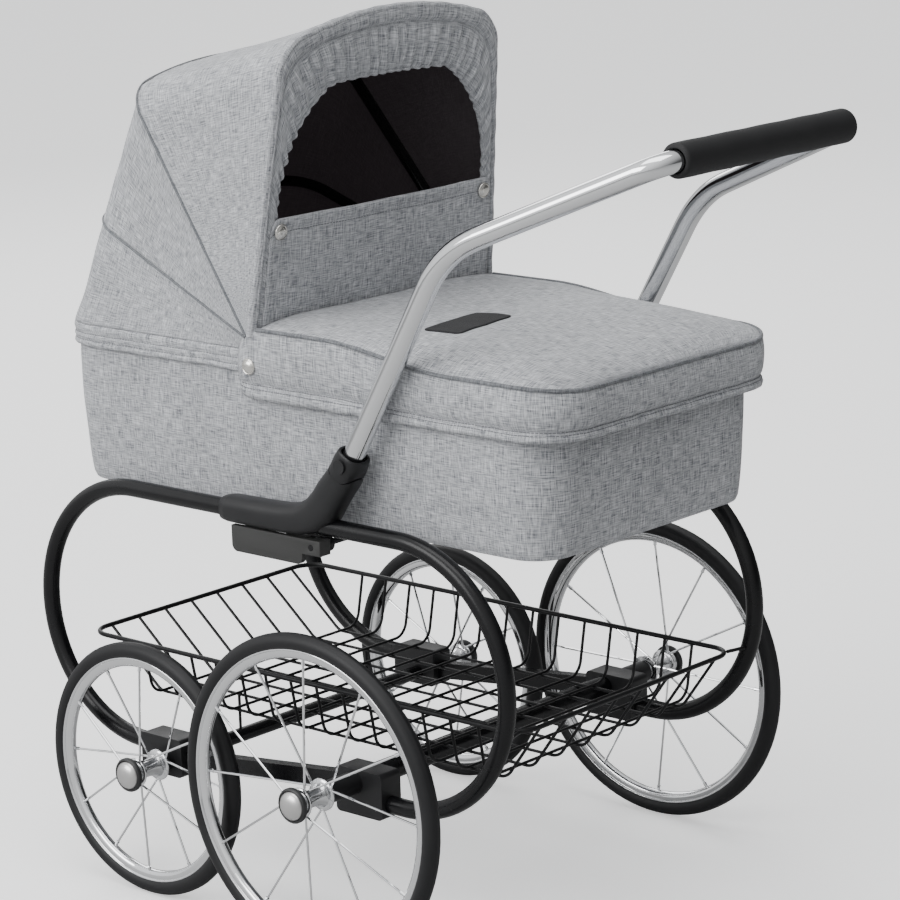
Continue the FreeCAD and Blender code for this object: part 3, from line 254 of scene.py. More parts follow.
tyre_rubber = hard_finish("tyre_rubber", (0.006, 0.006, 0.007), (0.013, 0.013, 0.014),
                          0.5, 0.2, 2600, 0.00012, Specular_IOR_Level=0.35)
chrome = hard_finish("chrome_plate", (0.78, 0.79, 0.8), (0.84, 0.84, 0.85),
                     0.07, 0.06, 300, 0.00001, Metallic=1.0)
hub_chrome = hard_finish("hub_chrome", (0.7, 0.71, 0.72), (0.82, 0.82, 0.83),
                         0.16, 0.1, 500, 0.00003, Metallic=1.0)
cap_steel = hard_finish("spun_cap_steel", (0.55, 0.54, 0.53), (0.72, 0.71, 0.7),
                        0.3, 0.12, 1500, 0.00004, Metallic=1.0)
cap_black = hard_finish("cap_ring_black", (0.014, 0.014, 0.015), (0.025, 0.025, 0.026),
                        0.42, 0.15, 1400, 0.00008)

TYRE_SECTION = 7.0
RIM_HALF = 5.6
SPOKES = 12


def tyre_profile(outer):
    """A nearly round section with a flat tread band and a seat on the rim."""
    middle = outer - TYRE_SECTION
    crown = arc_points((middle, 0), TYRE_SECTION, 24, 150, 16)
    tread = [(outer - 0.35, 2.0), (outer, 1.6), (outer, 0)]
    half = tread[::-1] + crown
    return half + [(radius, -offset) for radius, offset in half[:0:-1]]


def rim_profile(outer):
    """A rolled channel: two beads, sloping flanges and a deep well."""
    seat = outer - 2 * TYRE_SECTION + 2.6
    bead = arc_points((seat - 0.9, RIM_HALF - 0.9), 0.9, 130, -90 + 30, 8)
    half = [(seat - 2.8, 0), (seat - 2.6, 2.6)] + bead
    half += [(seat - 4.4, RIM_HALF - 1.2), (seat - 7.0, 3.4), (seat - 8.2, 1.6), (seat - 8.4, 0)]
    return half + [(radius, -offset) for radius, offset in half[-2:0:-1]]


def hub_profile(side):
    """A long concave barrel between two spoke flanges, flared at the cap."""
    half = [(4.3, -16), (7.6, -16), (8.2, -15.3), (8.0, -14.6), (12.4, -13.9), (12.9, -13.2),
            (12.9, -12.4), (12.3, -11.7), (9.4, -11.0), (7.9, -8), (7.1, -4), (6.8, 0),
            (6.9, 4), (7.4, 7.4), (8.6, 9.6), (11.4, 10.3), (12, 10.9), (12, 11.8),
            (11.4, 12.4), (9.2, 12.9), (9.0, 15), (10.4, 16.6), (10.4, 17), (4.3, 17)]
    return [(radius, side * offset) for radius, offset in half]


def cap_profiles(side):
    """The black ring of the cap, and the dome pressed into it."""
    ring = [(4.4, 17.05), (13.2, 17.05), (14, 17.9), (14, 20.2), (13.4, 21.3), (12.3, 21.7),
            (11.8, 21.2), (11.7, 20.4)]
    dome = [(11.65, 20.3), (11.3, 21.6), (9.9, 23.2), (7.6, 24.7), (4.8, 25.6), (2.2, 25.95),
            (0, 26)]
    return [[(radius, side * offset) for radius, offset in part] for part in (ring, dome)]


for corner in ("front_left", "front_right", "rear_left", "rear_right"):
    side = -1 if corner.endswith("left") else 1
    low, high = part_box(corner + "_tyre")
    centre = (low + high) / 2
    outer = (high.z - low.z) / 2 / MM
    body = "wheel_" + corner
    seat = Matrix.Translation(centre)

    tyre = turned(tyre_profile(outer), 96, closed=True)
    rim = turned(rim_profile(outer), 96, closed=True)
    hub = turned(hub_profile(side), 40, closed=True)
    ring, dome = [turned(part, 40) for part in cap_profiles(side)]

    spokes = bmesh.new()
    hole_reach = outer - 2 * TYRE_SECTION - 4.8
    for index in range(SPOKES):
        lift = side * (11.3 if index % 2 else -12.8)
        lean = math.radians(14 if index % 4 < 2 else -14)
        turn = math.tau * index / SPOKES
        foot = Vector((11.2 * math.cos(turn + lean * 2), lift, 11.2 * math.sin(turn + lean * 2)))
        head = Vector((hole_reach * math.cos(turn), lift / 6, hole_reach * math.sin(turn)))
        run = (head - foot) * MM
        stand = Matrix.Translation(foot * MM) @ run.to_track_quat("Z", "Y").to_matrix().to_4x4()
        # the wire, its nipple at the rim and its hooked end at the hub
        for radius, tip, start, stop in ((0.95, 0.95, 0.0, 1.0), (1.6, 1.2, 0.955, 0.995),
                                         (1.5, 1.5, 0.0, 0.012)):
            length = run.length * (stop - start)
            along = Matrix.Translation((0, 0, run.length * start + length / 2))
            bmesh.ops.create_cone(spokes, cap_ends=True, segments=8, radius1=radius * MM,
                                  radius2=tip * MM, depth=length, matrix=stand @ along)

    for name, shape, material, slot, node in (
            ("tyre_made", tyre, tyre_rubber, "tyre_rubber", "_tyre"),
            ("rim_made", rim, chrome, "chrome", "_rim"),
            ("hub_made", hub, hub_chrome, "chrome", "_hub"),
            ("spokes_made", spokes, chrome, "chrome", "_spokes"),
            ("cap_ring", ring, cap_black, "cap_metal", None),
            ("cap_dome", dome, cap_steel, "cap_metal", "_cap")):
        new_piece("%s_%s" % (corner, name), shape, [material], body, node and corner + node,
                  place=seat)


# ------------------------------------------- axle blocks, spacers, elbows
# Glass-filled nylon mouldings with rounded edges and a spark-eroded texture:
# the axle blocks, the spacers, the handle's elbows and the grey plates below.
black_plastic = hard_finish("black_nylon", (0.007, 0.007, 0.008), (0.014, 0.014, 0.015),
                            0.42, 0.16, 2400, 0.00015, Specular_IOR_Level=0.4)
grey_plastic = hard_finish("grey_nylon", (0.028, 0.028, 0.027), (0.036, 0.036, 0.035),
                           0.52, 0.12, 2400, 0.0002)
bright_steel = hard_finish("turned_steel", (0.5, 0.5, 0.5), (0.62, 0.62, 0.62),
                           0.3, 0.12, 900, 0.00005, Metallic=1.0)


def softened(node, width, material, segments=2):
    """A moulding: the CAD node's own shape with every sharp edge rounded."""
    shape = bmesh.new()
    shape.from_mesh(node_of[node].data)
    bmesh.ops.remove_doubles(shape, verts=shape.verts, dist=2e-6)
    bmesh.ops.dissolve_limit(shape, angle_limit=math.radians(2), verts=shape.verts,
                             edges=shape.edges)
    crisp = [e for e in shape.edges if len(e.link_faces) == 2
             and e.calc_face_angle(0) > math.radians(38)]
    bmesh.ops.bevel(shape, geom=crisp, offset=width, segments=segments, profile=0.5,
                    affect="EDGES", material=-1, clamp_overlap=True)
    bmesh.ops.triangulate(shape, faces=[f for f in shape.faces if len(f.verts) > 4])
    new_piece(node + "_moulding", shape, [material], "chassis", node, sharp=50)


for node in ("front_axle_blocks", "rear_axle_blocks"):
    softened(node, 2.6 * MM, black_plastic, segments=4)
softened("elbow_plates", 0.8 * MM, grey_plastic)
joints = {joint["name"]: joint for joint in frame["joints"]}
handle_pivot = Vector(joints["handle_fold"]["pos_m"])
handle_pivot.y = 0
ARM = Vector((0.5045, 0, 0.8635))
ACROSS = Vector((-ARM.z, 0, ARM.x))
ARM_LEAN = math.degrees(math.atan2(ARM.z, ARM.x))
RING = 28
SQUARENESS = 2.8


def on_arm(along, depth, width):
    """A section of a sweep across the handle's arm, a distance up it."""
    return (handle_pivot.x + ARM.x * along * MM, handle_pivot.z + ARM.z * along * MM,
            ARM_LEAN, depth, width)


def swept(sections, y, seat_radius, seat_end):
    """Rounded-square rings along a path of (x, z, lean, half depth, half width).

    The end by the pivot follows a round seat about it."""
    shape = bmesh.new()
    rings = []
    for x, z, lean, depth, width in sections:
        t = math.radians(lean)
        down_path = Vector((-math.sin(t), 0, math.cos(t)))
        ring = []
        for k in range(RING):
            a = math.tau * k / RING
            c, s = math.cos(a), math.sin(a)
            swell = (abs(c) ** SQUARENESS + abs(s) ** SQUARENESS) ** (-1 / SQUARENESS)
            ring.append(Vector((x, y, z)) + down_path * (depth * c * swell * MM)
                        + Vector((0, width * s * swell * MM, 0)))
        rings.append(ring)
    last = rings[seat_end]
    for k, point in enumerate(last):
        across = (point - handle_pivot).dot(ACROSS)
        along = -math.sqrt(max((seat_radius * MM) ** 2 - across * across, 0))
        fixed = handle_pivot + ACROSS * across + ARM * along
        last[k] = Vector((fixed.x, point.y, fixed.z))
    made = [[shape.verts.new(point) for point in ring] for ring in rings]
    for lower, upper in zip(made, made[1:]):
        for k in range(RING):
            shape.faces.new((lower[k], lower[(k + 1) % RING], upper[(k + 1) % RING], upper[k]))
    for ring in (made[0], made[-1]):
        for k in range(RING // 2):
            corners = [ring[k], ring[k + 1], ring[(RING - k - 1) % RING], ring[(RING - k) % RING]]
            corners = list(dict.fromkeys(corners))
            if len(corners) > 2:
                shape.faces.new(corners)
    bmesh.ops.recalc_face_normals(shape, faces=shape.faces)
    return shape


for side in ("left", "right"):
    low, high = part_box("elbow_" + side)
    y = (low.y + high.y) / 2
    wide = (high.y - low.y) / 2 / MM
    boot = [(low.x + step * MM, low.z + rise * MM, lean, depth, wide - narrower)
            for step, rise, lean, depth, narrower in (
                (0, 11.5, 0, 8.5, 3), (0.8, 11.5, 0, 9.8, 1.4), (8, 11.6, 0, 10.8, 0),
                (40, 11.8, 0, 11.2, 0), (66, 12.2, 2, 11.6, 0), (84, 14.2, 10, 12.6, 0),
                (98, 19.5, 24, 14.2, 0), (109, 28.5, 40, 14.8, 0), (117, 40, 52, 14.0, 0))]
    boot += [on_arm(-12, 13.4, wide), on_arm(-8, 13.2, wide)]
    new_piece("elbow_boot_" + side, swept(boot, y, 14.1, -1), [black_plastic], "chassis",
              "elbow_" + side, sharp=55)
    collar = [on_arm(0, 13.1, wide - 0.2)]
    for along, depth in ((1.5, 13.0), (4, 12.7), (6.2, 12.2), (8.6, 11.7), (9.4, 10.9), (9.2, 9.5),
                         (2, 8.9)):
        collar.append(on_arm(along, depth, min(depth + 0.4, wide - 0.2)))
    new_piece("handle_collar_" + side, swept(collar, y, 13.4, 0), [black_plastic], "handle",
              sharp=55)
coat(["axle_spacers", "handle_pivot_pins"], black_plastic)
coat(["front_axle", "rear_axle"], bright_steel)

# ------------------------------------------------------------------ basket
# Round black wire: a closed rim, wires along it that dip to the floor, and
# wires across them, spot welded where they cross.
wire_paint = hard_finish("black_wire_coat", (0.004, 0.004, 0.0045), (0.008, 0.008, 0.009),
                         0.34, 0.14, 1200, 0.00008, Specular_IOR_Level=0.3)
coat(["basket_rim", "basket_long_wires", "basket_cross_wires"], wire_paint)

# ------------------------------------------------------------------ handle
# Chrome tube, bent twice on each side, with moulded plugs at the elbows and a
# sleeve of closed-cell foam pushed round the cross bar.
coat(["handle_tube"], chrome)
coat(["handle_end_plugs"], black_plastic)
grip_foam = hard_finish("grip_foam", (0.008, 0.008, 0.009), (0.017, 0.017, 0.018),
                        0.66, 0.14, 1800, 0.0004, Specular_IOR_Level=0.4)
GRIP_BORE, GRIP_LIP, GRIP_EXTRA = 8.7, 3.2, 8
low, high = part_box("handle_grip")
grip_half = (high.y - low.y) / 2 / MM + GRIP_EXTRA
grip_radius = (high.z - low.z) / 2 / MM
lip = arc_points((grip_radius - GRIP_LIP, grip_half - GRIP_LIP), GRIP_LIP, 0, 90, 6)
sleeve = [(GRIP_BORE, -grip_half + 1.5)] + [(r, -y) for r, y in lip[::-1]]
sleeve += [(grip_radius + 0.15 * math.sin(k * 1.7), (grip_half - GRIP_LIP) * (k / 8 - 1))
           for k in range(1, 16)]
sleeve += lip + [(GRIP_BORE, grip_half - 1.5)]
new_piece("grip_sleeve", turned(sleeve, 40), [grip_foam], "handle", "handle_grip",
          place=Matrix.Translation((low + high) / 2))

# --------------------------------------------------------------- grey cloth
# Melange linen-look polyester: light and dark slubs run along both threads of
# a plain weave. The hood, cot and apron are cut from it and lined in black.


def weave_group():
    """Threads of a plain weave on the piece's own cloth map, in metres."""
    group, given, made = new_group("melange_weave", ("Thread",), ("Tone", "Height", "Cloud"))
    cloth = add(group, "UVMap", uv_map="cloth").outputs["UV"]
    tones, ribs = [], []
    for across in ((1.0, 0.07, 1.0), (0.07, 1.0, 1.0)):
        lie = add(group, "VectorMath", {0: cloth, 1: across}, operation="MULTIPLY")
        slub = add(group, "TexNoise", {"Vector": lie.outputs[0], "Scale": given["Thread"],
                                       "Detail": 2.0, "Roughness": 0.6})
        tones.append(slub.outputs["Fac"])
        yarn = add(group, "TexNoise", {"Vector": lie.outputs[0], "Scale": 2200.0, "Detail": 1.0})
        ribs.append(yarn.outputs["Fac"])
    both = add(group, "Math", {0: tones[0], 1: tones[1]}, operation="ADD")
    spread = add(group, "MapRange", {0: both.outputs[0], 1: 0.7, 2: 1.3, 3: 0.0, 4: 1.0})
    relief = add(group, "Math", {0: ribs[0], 1: ribs[1]}, operation="ADD")
    place = add(group, "TexCoord").outputs["Object"]
    cloud = add(group, "TexNoise", {"Vector": place, "Scale": 16.0, "Detail": 3.0})
    feed(group, made, {"Tone": spread.outputs[0], "Height": relief.outputs[0],
                       "Cloud": cloud.outputs["Fac"]})
    return group


WEAVE = weave_group()


def cloth_finish(name, dark, light, thread=1180.0, sheen=0.12):
    """Two tones of yarn, a soft cloudiness and the relief of the threads."""
    material, tree, shader = new_material(name, Roughness=0.92, Sheen_Weight=sheen,
                                          Sheen_Roughness=0.5)
    threads = add(tree, "Group", {"Thread": thread}, node_tree=WEAVE)
    tone = add(tree, "Mix", {0: threads.outputs["Tone"], 6: (*dark, 1), 7: (*light, 1)},
               data_type="RGBA")
    fade = add(tree, "MapRange", {0: threads.outputs["Cloud"], 1: 0.3, 2: 0.7, 3: 0.92, 4: 1.06})
    shaded = add(tree, "VectorMath", {0: tone.outputs[2], "Scale": fade.outputs[0]},
                 operation="SCALE")
    bump = add(tree, "Bump", {"Height": threads.outputs["Height"], "Distance": 0.0003,
                              "Strength": 0.6})
    feed(tree, shader, {"Base Color": shaded.outputs[0], "Normal": bump.outputs[0]})
    return material


grey_cloth = cloth_finish("grey_melange", (0.105, 0.112, 0.13), (0.7, 0.71, 0.73))
welt_cloth = cloth_finish("grey_welt", (0.05, 0.054, 0.062), (0.27, 0.28, 0.295))
black_cloth = cloth_finish("black_cotton_painted_glow", (0.04, 0.036, 0.038), (0.08, 0.07, 0.074),
                           900.0, 0.05)
# The faint emission is painted light: a glow that lifts the black lining, the mattress and the
# inside of the hood, which stand in shade.
feed(black_cloth.node_tree, black_cloth.node_tree.nodes["Principled BSDF"],
     {"Emission Color": (0.0075, 0.006, 0.0068, 1), "Emission Strength": 1.0})
label_cloth = cloth_finish("black_label", (0.006, 0.006, 0.007), (0.02, 0.02, 0.022), 1400.0,
                           0.05)
thread_grey, _, _ = new_material("sewing_thread", Base_Color=(0.16, 0.165, 0.175, 1),
                                 Roughness=0.8)


def clamp(share):
    return min(max(share, 0), 1)


def ridge(at, centre, width, height):
    """A soft ridge across a sheet, or a groove below 0, as a hem or seam makes."""
    return height * math.exp(-((at - centre) / width) ** 2)


def soft_push(point, pitch, depth):
    """A gentle, uneven push in metres, for cloth that nothing draws flat."""
    return depth * MM * noise.noise(point / (pitch * MM))


def cloth_sheet(rows, around=False):
    """Rows of points sewn into one sheet, with a cloth map in metres."""
    shape = bmesh.new()
    lay = shape.loops.layers.uv.new("cloth")
    count = len(rows[0])
    made = [[shape.verts.new(point) for point in row] for row in rows]
    middle = len(rows) // 2
    turn = list(range(count)) + ([0] if around else [])
    along = [0.0]
    for left, right in zip(turn, turn[1:]):
        along.append(along[-1] + (rows[middle][right] - rows[middle][left]).length)
    down = [0.0]
    for upper, lower in zip(rows, rows[1:]):
        down.append(down[-1] + sum((a - b).length for a, b in zip(upper, lower)) / count)
    for i in range(len(rows) - 1):
        for j, (left, right) in enumerate(zip(turn, turn[1:])):
            face = shape.faces.new((made[i][left], made[i][right],
                                    made[i + 1][right], made[i + 1][left]))
            spots = ((j, i), (j + 1, i), (j + 1, i + 1), (j, i + 1))
            for loop, (u, v) in zip(face.loops, spots):
                loop[lay].uv = (along[u], down[v])
    bmesh.ops.remove_doubles(shape, verts=shape.verts, dist=2e-5)
    bmesh.ops.recalc_face_normals(shape, faces=shape.faces)
    return shape, (along[-1], down[-1])


def face_out(shape, way):
    """Turn a sheet over if its faces look against a direction, or at a point."""
    lean = sum(face.normal.dot(way(face) if callable(way) else way) * face.calc_area()
               for face in shape.faces)
    if lean < 0:
        bmesh.ops.reverse_faces(shape, faces=shape.faces)


def sewn(name, rows, cloths, body, depth, node=None, around=False, way=None):
    """A sheet with its thickness inwards, and its size before it was sewn.

    A second cloth lines its inside, and way is where its outside looks."""
    shape, cut = cloth_sheet(rows, around)
    if way:
        face_out(shape, way)
    piece = new_piece(name, shape, cloths, body, node)
    skin = piece.modifiers.new("thickness", "SOLIDIFY")
    skin.thickness = depth * MM
    skin.offset = -1
    skin.material_offset = len(cloths) - 1
    skin.material_offset_rim = 0
    return piece, cut


def cord_along(points, radius, sides=8):
    """A round cord swept along points, its ends closed."""
    shape = bmesh.new()
    lay = shape.loops.layers.uv.new("cloth")
    last = len(points) - 1
    rings = []
    side = None
    for k, point in enumerate(points):
        run = (points[min(k + 1, last)] - points[max(k - 1, 0)]).normalized()
        side = run.orthogonal() if side is None else side
        side = (side - run * side.dot(run)).normalized()
        up = run.cross(side)
        size = radius[k] if isinstance(radius, list) else radius
        rings.append([shape.verts.new(point + (side * math.cos(t) + up * math.sin(t)) * size * MM)
                      for t in (math.tau * s / sides for s in range(sides))])
    for k, (ring, ahead) in enumerate(zip(rings, rings[1:])):
        for s in range(sides):
            face = shape.faces.new((ring[s], ring[(s + 1) % sides],
                                    ahead[(s + 1) % sides], ahead[s]))
            for loop, (u, v) in zip(face.loops, ((0, s), (0, s + 1), (1, s + 1), (1, s))):
                loop[lay].uv = ((k + u) * 0.004, v * 0.002)
    shape.faces.new(rings[0][::-1])
    shape.faces.new(rings[-1])
    bmesh.ops.recalc_face_normals(shape, faces=shape.faces)
    return shape


def resample(points, count):
    """The same line with evenly spaced points."""
    reach = [0.0]
    for a, b in zip(points, points[1:]):
        reach.append(reach[-1] + (b - a).length)
    spread, k = [], 0
    for step in range(count):
        goal = reach[-1] * step / (count - 1)
        while k < len(reach) - 2 and reach[k + 1] < goal:
            k += 1
        share = (goal - reach[k]) / max(reach[k + 1] - reach[k], 1e-9)
        spread.append(points[k].lerp(points[k + 1], share))
    return spread


def stitches(name, points, body, length=2.2, pitch=3.2):
    """A row of short thread stitches along a line on a sheet."""
    whole = sum((b - a).length for a, b in zip(points, points[1:]))
    steps = resample(points, int(whole / (pitch * MM)) * 4 + 1)
    shape = bmesh.new()
    for k in range(0, len(steps) - 4, 4):
        run = steps[k + 3] - steps[k]
        stand = Matrix.Translation(steps[k].lerp(steps[k + 3], 0.5))
        stand = stand @ run.to_track_quat("Z", "Y").to_matrix().to_4x4()
        bmesh.ops.create_cone(shape, cap_ends=True, segments=5, radius1=0.32 * MM,
                              radius2=0.32 * MM, depth=length * MM, matrix=stand)
    new_piece(name, shape, [thread_grey], body)


# ---------------------------------------------------------------------- cot
# A cloth cover, glued and stitched over card, closes round the board and turns
# in over a wire frame at the rim. The lining is black cotton.
cot_low, cot_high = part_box("cot_shell")
cot_mid = (cot_low.x + cot_high.x) / 2
cot_half_x = (cot_high.x - cot_low.x) / 2 / MM
cot_half_y = cot_high.y / MM
CORNER, COT_TAPER = 38, 5
SIDE_STEPS, CORNER_STEPS, END_STEPS = 64, 12, 30


def plan_loop(half_x, half_y, corner, shift=0.0):
    """A rounded rectangle in plan, anticlockwise from the rear right corner."""
    centres = [(sx * (half_x - corner), sy * (half_y - corner))
               for sx, sy in ((1, 1), (-1, 1), (-1, -1), (1, -1))]
    spots = []
    for index, (x, y) in enumerate(centres):
        bend = [math.radians(90 * (index + k / CORNER_STEPS)) for k in range(CORNER_STEPS)]
        spots += [(x, y, math.cos(t), math.sin(t)) for t in bend]
        next_x, next_y = centres[(index + 1) % 4]
        t = math.radians(90 * (index + 1))
        steps = END_STEPS if index % 2 else SIDE_STEPS
        spots += [(x + (next_x - x) * k / steps, y + (next_y - y) * k / steps,
                   math.cos(t), math.sin(t)) for k in range(steps)]
    return [(Vector((x + corner * out_x + shift, y + corner * out_y, 0)) * MM
             + Vector((cot_mid, 0, 0)), Vector((out_x, out_y, 0)))
            for x, y, out_x, out_y in spots]


def cot_row(height, inset=0.0, push=0.0, shrink=1.0):
    """One row of the cot's cover, at a height above its floor from 0 to 1."""
    share = clamp(height)
    taper = COT_TAPER * (1 - share) + inset
    loop = plan_loop(cot_half_x - taper, cot_half_y - taper,
                     max(CORNER - 4 * (1 - share) - inset, 4), 1.0 * (1 - share))
    level = cot_low.z + (cot_high.z - cot_low.z) * height
    centre = Vector((cot_mid, 0, 0))
    row = []
    for spot, out in loop:
        point = centre + (spot - centre) * shrink
        point.z = level
        point += out * (push * MM + soft_push(point, 42, 1.1 * math.sin(math.pi * share)))
        row.append(point)
    return row


cover_rows = [cot_row(0.0, 6, 0, shrink) for shrink in (0.0, 0.35, 0.7, 0.92)]
cover_rows += [cot_row(0.0, 5), cot_row(0.012, 1.6), cot_row(0.045, 0)]
cover_rows += [cot_row(0.045 + 0.93 * k / 18, 0, 2.2 * math.sin(math.pi * k / 18) ** 0.7)
               for k in range(1, 18)]
cover_rows += [cot_row(0.975, 0), cot_row(0.995, 0.8), cot_row(1.0, 2.2), cot_row(0.985, 4.2),
               cot_row(0.93, 4.6)]
cover, cut = sewn("cot_cover", cover_rows, [grey_cloth], "cot", 1.6, "cot_shell",
                  around=True)
lining_rows = [cot_row(0.97 - 0.85 * k / 12, 6.2, soft_push(Vector((k, 0, 0)), 3, 0.3))
               for k in range(13)]


def towards_middle(face):
    """From a face of the cot's lining to the middle of the cot."""
    return Vector((cot_mid, 0, 0)) - face.calc_center_median() * Vector((1, 1, 0))


lining, cut = sewn("cot_lining", lining_rows, [black_cloth], "cot", 1.0, around=True,
                   way=towards_middle)

board = hard_finish("hardboard", (0.2, 0.12, 0.06), (0.26, 0.17, 0.09), 0.7, 0.1, 1500, 0.0001)
coat(["cot_base_board"], board)
coat(["cot_rim_frame"], wire_paint)

# --------------------------------------------------------------- mattress
# A slab of foam in black cotton with a seam round its edge. It lies on the
# board, a little fuller in the middle.
low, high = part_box("mattress")


def mattress_row(share, inset, rise):
    """One row of the mattress, drawn in to a share of its outline."""
    loop = plan_loop((high.x - low.x) / 2 / MM - inset, high.y / MM - inset, 26 - inset,
                     ((low.x + high.x) / 2 - cot_mid) / MM)
    centre = Vector(((low.x + high.x) / 2, 0, 0))
    return [centre + (spot - centre) * share + Vector((0, 0, rise)) for spot, _ in loop]


pad_rows = [mattress_row(k, 3, low.z) for k in (0.0, 0.3, 0.6, 0.85, 0.97)]
pad_rows += [mattress_row(1, inset, low.z + (high.z - low.z) * t)
             for t, inset in ((0.12, 0.8), (0.35, 0.2), (0.5, 0.7), (0.65, 0.2), (0.88, 0.8))]
pad_rows += [mattress_row(k, 3, high.z + 2.5 * MM * (1 - k ** 4))
             for k in (0.97, 0.9, 0.8, 0.7, 0.6, 0.5, 0.4, 0.3, 0.2, 0.1, 0.0)]
shape, _ = cloth_sheet(pad_rows, around=True)
mattress = new_piece("mattress_pad", shape, [black_cloth], "cot", "mattress")

# ------------------------------------------------------------------- apron
# A padded top is piped to a boxing strip with a double-stitched hem. Its front
# corners lap over the hood's skirt and are held there by a snap on each side.
apron_low, apron_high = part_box("apron")
snap_low, snap_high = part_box("cot_snaps")
front_x = apron_low.x
foot_x = apron_high.x
half_y = apron_high.y
APRON_CORNER = 46 * MM
TAB = 36 * MM


def along_apron(share):
    """The apron's plan outline, round the foot from the left tab to the right."""
    straight = foot_x - APRON_CORNER - (front_x - TAB)
    bend = APRON_CORNER * math.pi / 2
    across = 2 * (half_y - APRON_CORNER)
    reach = share * (2 * straight + 2 * bend + across)
    if reach <= straight:
        return Vector((front_x - TAB + reach, -half_y, 0)), Vector((0, -1, 0))
    if reach <= straight + bend:
        t = (reach - straight) / APRON_CORNER
        out = Vector((math.sin(t), -math.cos(t), 0))
        return Vector((foot_x - APRON_CORNER, -half_y + APRON_CORNER, 0)) + out * APRON_CORNER, out
    if reach <= straight + bend + across:
        return (Vector((foot_x, -half_y + APRON_CORNER + reach - straight - bend, 0)),
                Vector((1, 0, 0)))
    spot, out = along_apron(1 - share)
    return Vector((spot.x, -spot.y, 0)), Vector((out.x, -out.y, 0))


def seam_height(x):
    """Height of the piped seam: it falls from the hood to the foot."""
    share = clamp((x - front_x - 0.05) / 0.13)
    fall = 14 * (share * share * (3 - 2 * share))
    foot = clamp((x - foot_x + 0.05) / 0.05)
    return apron_high.z - (2.5 + fall + 4 * foot * foot) * MM


BOX_STEPS, BOX_ROWS = 220, 14
PIPE_STEPS = 240
inner_out = 1.5 * MM
box_rows = []
for row in range(BOX_ROWS + 1):
    down = row / BOX_ROWS
    line = []
    for k in range(BOX_STEPS + 1):
        share = k / BOX_STEPS
        spot, out = along_apron(share)
        ahead = max(front_x + 6 * MM - spot.x, 0) / (TAB + 6 * MM)
        curl = 1 - math.sqrt(max(1 - (max(ahead - 0.66, 0) / 0.34) ** 2, 0))
        top = seam_height(spot.x) - 15 * MM * curl
        foot = apron_low.z + 5 * MM * curl
        belly = 2.6 * math.sin(math.pi * min(down / 0.78, 1)) ** 0.8
        hem = ridge(down, 0.93, 0.06, 1.2) + ridge(down, 0.8, 0.05, -1.4)
        point = Vector((spot.x, spot.y, top + (foot - top) * down))
        crease = soft_push(point, 26, 0.9) + soft_push(Vector((share * 3, 0, down * 0.05)), 45, 0.7)
        point += out * ((belly + hem - 1.5) * MM + crease)
        line.append(point)
    box_rows.append(line)
boxing, boxing_cut = sewn("apron_boxing", box_rows, [grey_cloth], "cot", 1.4)

pipe_line = []
for k in range(PIPE_STEPS + 1):
    spot, out = along_apron(k / PIPE_STEPS)
    if spot.x >= front_x - 20 * MM:
        pipe_line.append(Vector((spot.x, spot.y, seam_height(spot.x))) - out * inner_out)
piping = new_piece("apron_piping", cord_along(pipe_line, 1.7), [welt_cloth], "cot")


def top_height(x, y):
    """The padded top: crowned across, flat to the hood, falling at the foot."""
    share = clamp((x - front_x - 0.14) / (foot_x - front_x - 0.14))
    crown = apron_high.z + (2.5 - 15 * share ** 1.7) * MM
    side = min(abs(y) / (half_y - inner_out), 1)
    edge = seam_height(x)
    near_foot = clamp((foot_x - inner_out - x) / 0.05)
    roll = (1 - side ** 7) * (1 - (1 - near_foot) ** 5)
    return edge + (crown - edge) * roll


def quilting(point):
    """The slow and quick unevenness of the filling under the cloth."""
    return soft_push(point, 55, 1.6) + soft_push(point, 21, 0.5)


top_rows = []
ROWS, COLUMNS = 70, 64
for i in range(ROWS + 1):
    a = i / ROWS
    line = []
    for j in range(COLUMNS + 1):
        b = j / COLUMNS * 2 - 1
        x = front_x - 16 * MM + (foot_x - inner_out - front_x + 16 * MM) * a
        over = max(x - (foot_x - APRON_CORNER), 0)
        limit = half_y - APRON_CORNER + math.sqrt(max((APRON_CORNER - inner_out) ** 2
                                                      - over ** 2, 0))
        limit = min(limit, half_y - inner_out)
        y = b * limit
        side = min(abs(b), 1)
        point = Vector((x, y, top_height(x, b * (half_y - inner_out))))
        inner = (1 - side ** 4) * min(1, (1 - a) * 14)
        point.z += inner * quilting(point)
        pull = math.exp(-(1 - side) * 16) + math.exp(-(1 - a) * 18)
        point.z += min(pull, 1) * soft_push(Vector((x * 2.2, y * 2.2, 0)), 11, 0.5) * inner ** 0.2
        line.append(point)
    top_rows.append(line)
upwards = Vector((0, 0, 1))
quilt, _ = sewn("apron_top", top_rows, [grey_cloth, black_cloth], "cot", 12,
                "apron", way=upwards)

for name, down in (("hem_upper", 0.8), ("hem_lower", 0.86)):
    line = []
    row, share = divmod(down * BOX_ROWS, 1)
    for k in range(BOX_STEPS + 1):
        _, out = along_apron(k / BOX_STEPS)
        upper, lower = box_rows[int(row)][k], box_rows[int(row) + 1][k]
        line.append(upper.lerp(lower, share) + out * 0.2 * MM)
    stitches("apron_" + name, line, "cot")

label_centre = Vector((front_x + 121 * MM, -50 * MM, 0))
LABEL_TURN = math.radians(6)
LABEL_CORNER, LABEL_HALF_X, LABEL_HALF_Y = 5, 17.5, 36


def round_off(p, q):
    """Draw a point near the label's corner in to its round corner."""
    flat_p, flat_q = LABEL_HALF_X - LABEL_CORNER, LABEL_HALF_Y - LABEL_CORNER
    over_p, over_q = max(abs(p) - flat_p, 0), max(abs(q) - flat_q, 0)
    if not (over_p and over_q):
        return p, q
    squeeze = min(1, LABEL_CORNER / max(math.hypot(over_p, over_q), 0.1))
    return (math.copysign(flat_p + over_p * squeeze, p),
            math.copysign(flat_q + over_q * squeeze, q))


